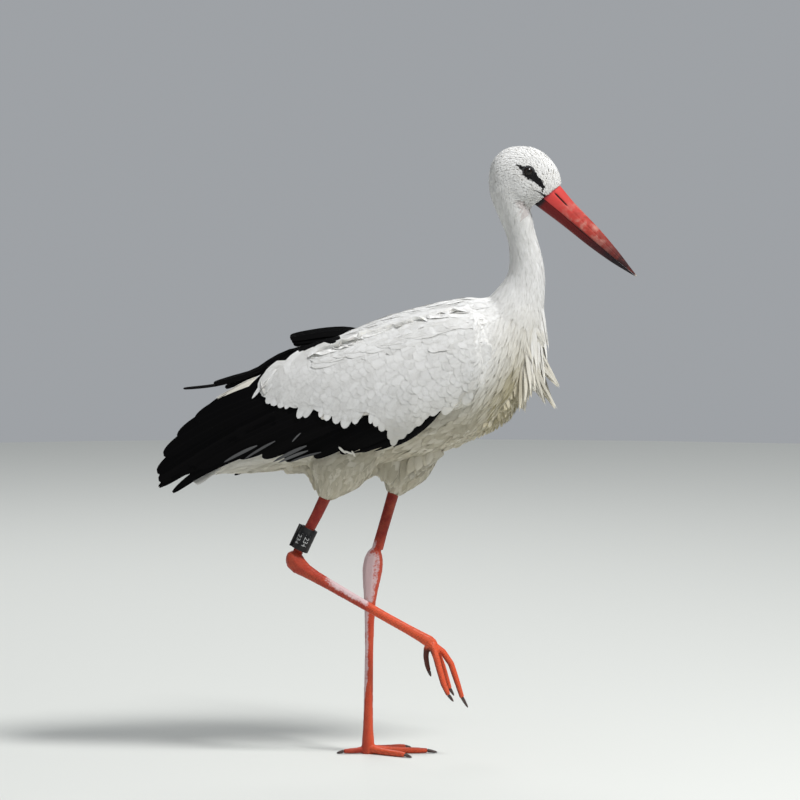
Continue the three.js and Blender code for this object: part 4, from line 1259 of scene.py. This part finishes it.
def eyeball(name, side):
    """A sphere as rings from the outer pole to the inner one: radius times (sin, cos) of the polar angle."""
    polar = np.linspace(0.02, np.pi - 0.02, 40)[:, None]
    turn = np.linspace(0, 2 * np.pi, 56, endpoint=False)[None]
    rings = columns(np.sin(polar) * np.cos(turn), np.cos(polar), np.sin(polar) * np.sin(turn))
    centre = np.array([EYE[0], side * EYE_SIDE, EYE[2]])
    return loft(name, centre + BALL * rings * (1, side, 1))


def lids(name, side):
    """A closed ring round the eye: almond edge, roll of the lid, slope outwards, and back underneath."""
    turn = np.linspace(0, 2 * np.pi, 96, endpoint=False)
    almond = columns(5.9 * np.cos(turn), 5.0 * np.sin(turn) * (1 - 0.10 * np.cos(2 * turn))) * MM
    outer = columns(9.6 * np.cos(turn), 8.4 * np.sin(turn)) * MM
    mix = np.array([0.0, 0.03, 0.10, 0.20, 0.34, 0.5, 0.7, 1.0])
    flat = almond[None] + (outer - almond)[None] * mix[:, None, None]
    lean = np.array([[math.cos(LID_LEAN), math.sin(LID_LEAN)], [-math.sin(LID_LEAN), math.cos(LID_LEAN)]])
    flat = flat @ lean
    radius = np.linalg.norm(flat, axis=2)
    on_ball = EYE_SIDE + np.sqrt(np.maximum((BALL + 0.12 * MM) ** 2 - radius ** 2, (2.2 * MM) ** 2))
    places = columns(EYE[0] + flat[..., 0], side * 0.03, EYE[2] + flat[..., 1])
    face, _ = snap(places.reshape(-1, 3))
    on_face = np.abs(face[:, 1]).reshape(radius.shape) - 0.5 * MM
    share = ease(mix, 0.0, 0.6)[:, None]
    roll = np.array([0, 0.55, 0.95, 0.8, 0.45, 0.2, 0.0, -0.5])[:, None] * MM
    depth = on_ball * (1 - share) + on_face * share + roll
    top = columns(places[..., 0], side * depth, places[..., 2])
    under = top[::-1] - np.array((0, side * 1.6 * MM, 0))
    band = np.concatenate([top, under]).transpose(1, 0, 2)
    quads = band_faces(*band.shape[:2])
    if side > 0:
        quads = quads[:, ::-1]
    return make_piece(name, band.reshape(-1, 3), [quads])


for name, side in SIDES.items():
    dress(eyeball(f"eyeball_{name}", side), "eye", f"eye_{name}")
    dress(lids(f"eyelids_{name}", side), "eye")

# %% [markdown]
# A thin dark fold runs from the corner of the mouth back under the eye. It is one narrow leaf a side, laid on
# the face along the line of the gape.

# %% Folds of the gape
GAPE_FOLD = np.array([(220, 789.8), (226, 786.6), (232, 783.4), (237, 780.8), (242, 777.6)]) * MM
fold_shafts, fold_normals = [], []
for side in SIDES.values():
    fold = smooth_rows(GAPE_FOLD, 120)[np.round(stations_along(16) * 119).astype(int)][::-1]
    at, normal = snap(columns(fold[:, 0], side * 26 * MM, fold[:, 1]))
    fold_shafts.append(at + 0.35 * MM * normal)
    fold_normals.append(normal)
fold_shafts, fold_normals = np.stack(fold_shafts), np.stack(fold_normals)
fold_parts, fold_share = leaves_on(fold_shafts, fold_normals, np.full(2, 1.0 * MM), 0.25 * MM, 1.4, DIAMOND)
dress(make_feathers("gape_folds", fold_parts, fold_share, DIAMOND[:, 0], np.zeros(2), fold_shafts[:, 0]),
      "eye")

# %% [markdown]
# ## Claws and ring
# The claws' solids are right but faceted, so they are melted into smooth ones.

# %% Claws
claw_nodes = [f"claw_{side}_{toe}" for side in SIDES for toe in TOES]
claws = melt("claws", claw_nodes, 0.05 * MM, 0.5 * MM, 3)
claws.data.polygons.foreach_set("use_smooth", np.ones(len(claws.data.polygons), bool))
dress(claws, "claw_horn", *claw_nodes)

# %% [markdown]
# The ring on the right shank is a split tube of black plastic whose ends overlap in a flange. Its surface is
# turned from a profile with bevelled corners, and the flange is a thin bar along it.

# %% Ring
RING_MIDDLE = np.array([-87.5, -33.5, 303.5]) * MM
RING_LEAN = math.radians(25)
RING_OUTER, RING_INNER, RING_HALF = 12.2 * MM, 10.2 * MM, 16.5 * MM


def lean_ring(points):
    """Turns points about the Y axis by the shank's lean and sets them at the ring's middle."""
    x = points[..., 0] * math.cos(RING_LEAN) + points[..., 2] * math.sin(RING_LEAN)
    z = points[..., 2] * math.cos(RING_LEAN) - points[..., 0] * math.sin(RING_LEAN)
    return RING_MIDDLE + columns(x, points[..., 1], z)


BEVEL = 0.5 * MM
low_corners = np.array([(RING_INNER, BEVEL - RING_HALF), (RING_INNER + BEVEL, -RING_HALF),
                        (RING_OUTER - BEVEL, -RING_HALF), (RING_OUTER, BEVEL - RING_HALF)])
radius, height = np.concatenate([low_corners, low_corners[::-1] * (1, -1)]).T
turn = np.linspace(0, 2 * np.pi, 72, endpoint=False)[:, None]
turned = columns(radius * np.cos(turn), radius * np.sin(turn), height)
ring_quads = band_faces(*turned.shape[:2])[:, ::-1]
lap_x = np.array([-RING_OUTER - 3.4 * MM, -RING_OUTER + 1.2 * MM])
lap = np.array([(x, y, z) for x in lap_x for y in (-1.2 * MM, 1.2 * MM) for z in (-RING_HALF, RING_HALF)])
lap_quads = np.array([(0, 1, 3, 2), (4, 6, 7, 5), (0, 4, 5, 1), (2, 3, 7, 6), (0, 2, 6, 4), (1, 5, 7, 3)])
ring = make_piece("ring_shell", lean_ring(np.concatenate([turned.reshape(-1, 3), lap])),
                  [ring_quads, lap_quads + turned[..., 0].size])
dress(ring, "ring_plastic", "leg_ring")

# %% [markdown]
# Plain counting numbers stand for a ring's marks. A flat text is made a mesh, and every point of it is rolled
# round the ring: its height on the page becomes an angle, and its place along the line a height on the ring.

# %% Numbers on the ring
page = bpy.data.curves.new("page", "FONT")
page.body, page.size, page.align_x, page.extrude = "1234", 9.5 * MM, "CENTER", 0.0
page_object = bpy.data.objects.new("page", page)
bpy.context.scene.collection.objects.link(page_object)
letters = bpy.data.meshes.new_from_object(page_object.evaluated_get(bpy.context.evaluated_depsgraph_get()))
bpy.data.objects.remove(page_object)
page_points, _ = points_of(letters)
letters.calc_loop_triangles()
page_faces = read(letters.loop_triangles, "vertices", 3, np.int32)
bpy.data.meshes.remove(letters)
stamps, stamp_faces = [], []
for number, bearing in enumerate(np.radians((-128, -74, 52, 106))):
    angle = bearing + (page_points[:, 1] - 4 * MM) / RING_OUTER
    for level in (0.06 * MM, -0.2 * MM):
        radius = RING_OUTER + level
        stamps.append(columns(radius * np.cos(angle), radius * np.sin(angle), -page_points[:, 0]))
    low = 2 * number * len(page_points)
    stamp_faces += [page_faces + low, page_faces[:, ::-1] + low + len(page_points)]
dress(make_piece("ring_numbers", lean_ring(np.concatenate(stamps)), stamp_faces), "ring_plastic")

# %% [markdown]
# ## Finishes
# Each finish is a node material. Three effects are shared, so each is one node group with its own sliders:
# barbs, the fine parallel threads of every feather vane, which slant away from the shaft, speckle, a soft
# cloudy variation, and plates, the cell pattern of horn and scaly skin.

# %% Node helpers and shared effects
def add_node(tree, kind, inputs=None, **settings):
    """A node with its settings, and with values or other nodes' outputs put into its inputs."""
    made = tree.nodes.new(kind)
    for key, value in settings.items():
        setattr(made, key, value)
    for key, value in (inputs or {}).items():
        if isinstance(value, bpy.types.NodeSocket):
            tree.links.new(value, made.inputs[key])
        else:
            made.inputs[key].default_value = value
    return made


def maths(tree, operation, first, second=0.0):
    """One arithmetic step, as its output socket."""
    return add_node(tree, "ShaderNodeMath", {0: first, 1: second}, operation=operation).outputs[0]


def times(tree, first, second):
    """A product, as its output socket."""
    return maths(tree, "MULTIPLY", first, second)


def blend_colour(tree, share, first, second, kind="MIX"):
    """A mix of two colours, as its output socket. A mix node keeps its colour sockets at 6 and 7."""
    first, second = ((*colour, 1) if isinstance(colour, tuple) else colour for colour in (first, second))
    return add_node(tree, "ShaderNodeMix", {0: share, 6: first, 7: second}, data_type="RGBA",
                    blend_type=kind).outputs[2]


def attributes(tree, *names, output="Fac"):
    """Per-point values of the mesh, as one socket each."""
    return [add_node(tree, "ShaderNodeAttribute", attribute_name=name).outputs[output] for name in names]


def place_on_bird(tree):
    """The place on the bird in metres, as a vector socket."""
    return add_node(tree, "ShaderNodeTexCoord").outputs["Object"]


def new_group(name, inputs, outputs):
    """An empty shader node group with float inputs, given with their values, and outputs."""
    group = bpy.data.node_groups.new(name, "ShaderNodeTree")
    for label, value in inputs.items():
        group.interface.new_socket(label, in_out="INPUT", socket_type="NodeSocketFloat").default_value = value
    for label in outputs:
        group.interface.new_socket(label, in_out="OUTPUT", socket_type="NodeSocketFloat")
    return group, group.nodes.new("NodeGroupInput"), group.nodes.new("NodeGroupOutput")


barbs, given, result = new_group("barbs", {"Count": 60.0, "Slant": 0.6}, ["Height", "Shaft", "Seed"])
split = add_node(barbs, "ShaderNodeSeparateXYZ", {0: attributes(barbs, "lie", output="Vector")[0]})
side_way = maths(barbs, "ABSOLUTE", split.outputs[0])
slant = times(barbs, side_way, given.outputs["Slant"])
phase = times(barbs, maths(barbs, "SUBTRACT", split.outputs[1], slant), given.outputs["Count"])
barbs.links.new(maths(barbs, "SINE", phase), result.inputs["Height"])
shaft_line = maths(barbs, "SUBTRACT", 1.0, times(barbs, side_way, 14.0))
barbs.links.new(maths(barbs, "MAXIMUM", shaft_line, 0.0), result.inputs["Shaft"])
barbs.links.new(split.outputs[2], result.inputs["Seed"])

speckle, given, result = new_group("speckle", {"Scale": 60.0, "Detail": 3.0}, ["Value"])
cloud = add_node(speckle, "ShaderNodeTexNoise",
                 {"Vector": place_on_bird(speckle), "Scale": given.outputs["Scale"],
                  "Detail": given.outputs["Detail"]})
speckle.links.new(cloud.outputs["Fac"], result.inputs["Value"])

plates, given, result = new_group("plates", {"Scale": 300.0}, ["Edge", "Cell"])
pattern = {"Vector": place_on_bird(plates), "Scale": given.outputs["Scale"]}
cells = add_node(plates, "ShaderNodeTexVoronoi", pattern, feature="DISTANCE_TO_EDGE")
tones = add_node(plates, "ShaderNodeTexVoronoi", pattern)
plates.links.new(cells.outputs["Distance"], result.inputs["Edge"])
plates.links.new(add_node(plates, "ShaderNodeSeparateXYZ", {0: tones.outputs["Color"]}).outputs[0],
                 result.inputs["Cell"])


def use(tree, group, **values):
    """Places a shared effect in a material with its own values."""
    made = tree.nodes.new("ShaderNodeGroup")
    made.node_tree = group
    for key, value in values.items():
        made.inputs[key].default_value = value
    return made.outputs


def new_finish(name, **constants):
    """A material and its tree and shader, with constants set on the shader's own sockets."""
    finish = bpy.data.materials.new(name)
    finish.use_nodes = True
    shader = finish.node_tree.nodes["Principled BSDF"]
    for key, value in constants.items():
        shader.inputs[key.replace("_", " ")].default_value = value
    return finish, finish.node_tree, shader


def feed(tree, shader, **sockets):
    """Links sockets to the shader's inputs, whose names are given with _ for each space."""
    for key, socket in sockets.items():
        tree.links.new(socket, shader.inputs[key.replace("_", " ")])


def bump(tree, shader, height, strength, distance):
    """Feeds a height into the shader's normal."""
    made = add_node(tree, "ShaderNodeBump", {"Height": height, "Strength": strength, "Distance": distance})
    feed(tree, shader, Normal=made.outputs["Normal"])


def ramp(tree, value, *stops):
    """A colour ramp with (position, colour) stops, as its colour socket."""
    made = add_node(tree, "ShaderNodeValToRGB", {"Fac": value})
    elements = made.color_ramp.elements
    while len(elements) < len(stops):
        elements.new(0.5)
    for element, (position, colour) in zip(elements, stops):
        element.position, element.color = position, (*colour, 1)
    return made.outputs["Color"]


def ranged(tree, value, low, high, out_low=0.0, out_high=1.0):
    """A value moved from one range to another, and kept inside it."""
    return add_node(tree, "ShaderNodeMapRange", {"Value": value, "From Min": low, "From Max": high,
                                                 "To Min": out_low, "To Max": out_high}).outputs["Result"]


print("shared effects:", ", ".join(group.name for group in (barbs, speckle, plates)))

# %% [markdown]
# White feathers are matt with a soft sheen, a little translucent at their edges. Cream and black come from
# the values that each feather carries, and every feather is a shade lighter or darker than the next. The
# cream is partly painted shade, deepest in the darkest buffs of the plumes, and the throat's darker rose is
# painted shade of the gap between its feathers.

# %% White and cream coat
WHITE = (0.88, 0.87, 0.84)
SHADE_WHITE = (0.70, 0.69, 0.66)
# Cream to buff by feather: real cream, darkened as painted shade of the shaded underside and of the gaps
# between plumes
CREAM_AND_SHADE_TONES = ((0.0, (0.37, 0.32, 0.19)), (0.5, (0.52, 0.46, 0.31)), (1.0, (0.67, 0.61, 0.46)))
# Painted shade of the gap in the throat's feathers, over rosy skin
ROSE_GAP_SHADE = (0.30, 0.19, 0.17)
SOOT = (0.006, 0.0055, 0.006)


def coat_finish(name, count, cream_and_shade_share):
    """The finish of white feathers, with so many barbs on a feather and a share of its cream tone, which is
    partly painted shade.
    """
    finish, tree, shader = new_finish(name, Roughness=0.8, Specular_IOR_Level=0.2, Subsurface_Weight=0.35,
                                      Subsurface_Radius=(1, 0.95, 0.85), Subsurface_Scale=0.0025)
    thread = use(tree, barbs, Count=count)
    patch = use(tree, speckle, Scale=34.0)
    black, cream, rose = attributes(tree, "black", "cream", "rose")
    tone = maths(tree, "ADD", times(tree, thread["Seed"], 0.45), times(tree, patch["Value"], 0.8))
    base = blend_colour(tree, ranged(tree, tone, 0.2, 1.1), WHITE, SHADE_WHITE)
    # Cream, partly painted shade of the underside and between the plumes
    base = blend_colour(tree, times(tree, cream, cream_and_shade_share), base, ramp(tree, thread["Seed"], *CREAM_AND_SHADE_TONES))
    threads = ranged(tree, thread["Height"], -1.0, 1.0, 0.95, 1.0)
    threads = add_node(tree, "ShaderNodeCombineColor", {0: threads, 1: threads, 2: threads}).outputs[0]
    base = blend_colour(tree, 1.0, base, threads, "MULTIPLY")
    # The darker rose where the throat's feathers part is painted shade
    base = blend_colour(tree, rose, base, ROSE_GAP_SHADE)
    base = blend_colour(tree, ranged(tree, black, 0.35, 0.65), base, SOOT)
    feed(tree, shader, Base_Color=base)
    bump(tree, shader, thread["Height"], 0.12, 0.2 * MM)
    return finish


FINE_COAT = coat_finish("fine_white_feathers", 26.0, 0.8)
BROAD_COAT = coat_finish("broad_white_feathers", 95.0, 1.0)
print("coat finishes:", FINE_COAT.name, BROAD_COAT.name)

# %% [markdown]
# Black feathers aren't flat black: barbs give them a silky sheen, and the outer webs of some secondaries are
# silver-grey, partly paler webs and partly a painted sheen.

# %% Black feathers
def flight_finish(name, dark, light):
    """Silky flight feathers between a dark and a light tone, with a faintly paler shaft."""
    finish, tree, shader = new_finish(name, Roughness=0.55, Specular_IOR_Level=0.04)
    thread = use(tree, barbs, Count=240.0, Slant=0.25)
    base = ramp(tree, thread["Seed"], (0.0, dark), (1.0, light))
    base = blend_colour(tree, times(tree, thread["Shaft"], 0.2), base, tuple(3 * value for value in light))
    feed(tree, shader, Base_Color=base, Roughness=ranged(tree, thread["Height"], -1, 1, 0.44, 0.62))
    bump(tree, shader, thread["Height"], 0.2, 0.15 * MM)
    return finish


FLIGHT = flight_finish("black_flight_feathers", (0.0006, 0.0006, 0.0008), (0.0026, 0.0024, 0.0026))
# Silver-grey outer webs: paler webs with a painted sheen
SILVER_WEBS = flight_finish("worn_silver_feathers", (0.07, 0.07, 0.073), (0.13, 0.13, 0.132))
print("black finishes:", FLIGHT.name, SILVER_WEBS.name)

# %% [markdown]
# The skin is pale pink under the coat and orange-red on the bare legs, darker in the grooves between the
# plates, which is painted shade. The legs also carry painted light and shade: dark crimson shanks in the
# shade of the body, a bright near foot where it is lit, and a dark hind toe and soles on the lifted foot.
# Storks cool themselves by wetting their legs with droppings, which dry to a chalky coat: it lies on the
# ankles and the rear of the tarsus. The cream of the skin under the coat is partly painted shade, and the
# throat's darker rose is painted shade of its gap.

# %% Skin
hide, tree, shader = new_finish("skin_of_body_and_legs", Roughness=0.5, Specular_IOR_Level=0.3)
cell = use(tree, plates, Scale=330.0)
blotch = use(tree, speckle, Scale=90.0, Detail=5.0)
fine = use(tree, speckle, Scale=420.0, Detail=2.0)
bare, groove_shade, black, cream, rose, droppings, warm, soil = attributes(
    tree, "bare", "groove", "black", "cream", "rose", "chalk", "warm", "soil")
# Painted light and shade: dark crimson shanks in the shade of the body, a bright near foot where it is lit
red = ramp(tree, warm, (0.0, (0.22, 0.012, 0.007)), (0.42, (0.38, 0.032, 0.014)), (1.0, (0.68, 0.085, 0.028)))
red = blend_colour(tree, ranged(tree, blotch["Value"], 0.35, 0.75, 0.0, 0.4), red, (0.56, 0.12, 0.05))
# Painted shade in the grooves between the plates
red = blend_colour(tree, times(tree, groove_shade, 0.6), red, (0.12, 0.012, 0.008))
# Painted shade on the hind toe and the down-facing soles
red = blend_colour(tree, times(tree, soil, 0.9), red, (0.03, 0.012, 0.010))
patchy = maths(tree, "ADD", blotch["Value"], times(tree, fine["Value"], 1.1))
chalk = ranged(tree, maths(tree, "ADD", patchy, droppings), 1.35, 1.8)
chalk = times(tree, chalk, ranged(tree, droppings, 0.0, 0.2))
legs_colour = blend_colour(tree, times(tree, chalk, 0.85), red, (0.61, 0.49, 0.50))
# Cream, partly painted shade of the underside; the throat's darker rose is painted shade of its gap
body_colour = blend_colour(tree, cream, (0.80, 0.76, 0.70), (0.66, 0.60, 0.47))
body_colour = blend_colour(tree, rose, body_colour, (0.30, 0.20, 0.17))
body_colour = blend_colour(tree, black, body_colour, SOOT)
feed(tree, shader, Base_Color=blend_colour(tree, bare, body_colour, legs_colour),
     Roughness=ranged(tree, chalk, 0.0, 1.0, 0.42, 0.8))
bump(tree, shader, ranged(tree, cell["Edge"], 0.0, 0.09), 0.5, 0.4 * MM)
print("skin finish:", hide.name)

# %% [markdown]
# The horn of the bill is coral red at its root, mottled brown in the middle, dark plum towards the end and
# pale at the very tip. The lower half is a deeper crimson. The nostril's slit is painted nearly black, as
# shade inside it.

# %% Horn
UPPER_STOPS = ((0.0, (0.54, 0.05, 0.045)), (0.45, (0.36, 0.045, 0.032)), (0.62, (0.18, 0.028, 0.022)),
               (0.80, (0.032, 0.011, 0.011)))
LOWER_STOPS = ((0.0, (0.15, 0.005, 0.006)), (0.35, (0.12, 0.005, 0.004)), (0.62, (0.045, 0.006, 0.009)),
               (0.74, (0.012, 0.006, 0.009)))


def horn_finish(name, lower):
    """The finish of one half of the bill, along which its colours follow each other with a cloudy border."""
    finish, tree, shader = new_finish(name, Roughness=0.45, Specular_IOR_Level=0.22)
    along, level, slit = attributes(tree, "along", "level", "slit")
    cloud = use(tree, speckle, Scale=90.0, Detail=6.0)
    grain = use(tree, speckle, Scale=500.0, Detail=2.0)
    shift = times(tree, maths(tree, "SUBTRACT", cloud["Value"], 0.5), 0.24)
    base = ramp(tree, maths(tree, "ADD", along, shift), *(LOWER_STOPS if lower else UPPER_STOPS))
    if not lower:
        pale = times(tree, ranged(tree, cloud["Value"], 0.48, 0.66), ranged(tree, along, 0.10, 0.3))
        pale = times(tree, pale, ranged(tree, along, 0.72, 0.5))
        base = blend_colour(tree, times(tree, pale, 0.6), base, (0.52, 0.27, 0.22))
        dark = times(tree, ranged(tree, cloud["Value"], 0.46, 0.34), ranged(tree, along, 0.15, 0.4))
        base = blend_colour(tree, times(tree, dark, 0.6), base, (0.16, 0.03, 0.02))
        edge = times(tree, ranged(tree, level, -0.12, -0.3), ranged(tree, along, 0.12, 0.4))
        base = blend_colour(tree, edge, base, (0.012, 0.006, 0.009))
    base = blend_colour(tree, ranged(tree, along, 0.02, -0.03), base, (0.10, 0.02, 0.045))
    if lower:
        base = blend_colour(tree, ranged(tree, along, 0.03, 0.0), base, (0.012, 0.006, 0.007))
    else:
        # The nostril's slit painted nearly black: painted shade inside it
        base = blend_colour(tree, ranged(tree, slit, 0.25, 0.7), base, (0.02, 0.006, 0.006))
    base = blend_colour(tree, ranged(tree, along, 0.965, 0.985), base, (0.55, 0.48, 0.38))
    feed(tree, shader, Base_Color=base, Roughness=ranged(tree, grain["Value"], 0.3, 0.7, 0.38, 0.58))
    bump(tree, shader, maths(tree, "ADD", times(tree, grain["Value"], 0.3), cloud["Value"]), 0.35, 0.6 * MM)
    return finish


UPPER_HORN = horn_finish("upper_bill_horn", False)
LOWER_HORN = horn_finish("lower_bill_horn", True)
print("horn finishes:", UPPER_HORN.name, LOWER_HORN.name)

# %% [markdown]
# The eye is wet and dark, with a black pupil in a barely lighter iris, which a distance from its middle tells
# apart. Lids, claws, the ring and its numbers are small, and each has one cloudy or cellular tone.

# %% Eye, lids, claws and ring plastic
eye_finish, tree, shader = new_finish("dark_brown_eye", Roughness=0.04, Specular_IOR_Level=0.3)
spot = add_node(tree, "ShaderNodeSeparateXYZ", {0: place_on_bird(tree)})
ahead = maths(tree, "SUBTRACT", spot.outputs[0], float(EYE[0]))
above = maths(tree, "SUBTRACT", spot.outputs[2], float(EYE[2]))
from_middle = maths(tree, "SQRT", maths(tree, "ADD", times(tree, ahead, ahead), times(tree, above, above)))
feed(tree, shader, Base_Color=ramp(tree, ranged(tree, from_middle, 0.0, float(BALL)),
                                   (0.40, (0.002, 0.002, 0.002)),
                                   (0.46, (0.012, 0.006, 0.004)), (0.80, (0.006, 0.003, 0.002))))

lid_finish, tree, shader = new_finish("black_lid_skin", Roughness=0.55)
cell = use(tree, plates, Scale=1500.0)
feed(tree, shader, Base_Color=ramp(tree, cell["Cell"], (0.0, (0.005, 0.0045, 0.005)),
                                   (1.0, (0.010, 0.009, 0.010))))
bump(tree, shader, ranged(tree, cell["Edge"], 0.0, 0.1), 0.5, 0.3 * MM)

claw_finish, tree, shader = new_finish("claw_horn", Roughness=0.45)
cloud = use(tree, speckle, Scale=260.0, Detail=4.0)["Value"]
feed(tree, shader, Base_Color=ramp(tree, cloud, (0.3, (0.022, 0.012, 0.011)), (0.7, (0.085, 0.05, 0.042))))
bump(tree, shader, cloud, 0.3, 0.3 * MM)

plastic, tree, shader = new_finish("black_ring_plastic", Roughness=0.45, Specular_IOR_Level=0.25)
cloud = use(tree, speckle, Scale=180.0, Detail=5.0)["Value"]
feed(tree, shader, Base_Color=ramp(tree, cloud, (0.4, (0.004, 0.004, 0.005)), (0.75, (0.022, 0.021, 0.02))),
     Roughness=ranged(tree, cloud, 0.3, 0.7, 0.3, 0.55))
bump(tree, shader, cloud, 0.2, 0.3 * MM)

number_paint, tree, shader = new_finish("pale_number_paint", Roughness=0.6)
cloud = use(tree, speckle, Scale=900.0)["Value"]
feed(tree, shader, Base_Color=ramp(tree, cloud, (0.3, (0.26, 0.26, 0.26)), (0.7, (0.55, 0.55, 0.54))))
print("small finishes:", eye_finish.name, lid_finish.name, claw_finish.name, plastic.name, number_paint.name)

# %% [markdown]
# A piece's finish follows from how its name begins. All others are broad white or cream feathers. The form
# has served its purpose and goes.

# %% Give each piece its finish
FINISHES = ((hide, ("skin",)), (FINE_COAT, ("coat_face", "coat_head", "coat_neck")),
            (eye_finish, ("eyeball",)), (lid_finish, ("eyelids", "gape_folds")),
            (UPPER_HORN, ("bill_upper",)), (LOWER_HORN, ("bill_lower",)),
            (claw_finish, ("claws",)), (plastic, ("ring_shell",)), (number_paint, ("ring_numbers",)),
            (SILVER_WEBS, ("stray_silver",)),
            (FLIGHT, ("stray_black", "bend", "secondaries", "primaries", "tertials")))
bpy.data.objects.remove(form)
pieces = [item for item in bpy.data.objects
          if item.type == "MESH" and item.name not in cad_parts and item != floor]
for piece in pieces:
    finish = next((finish for finish, starts in FINISHES if piece.name.startswith(starts)), BROAD_COAT)
    piece.data.materials.clear()
    piece.data.materials.append(finish)
print("pieces finished:", len(pieces))
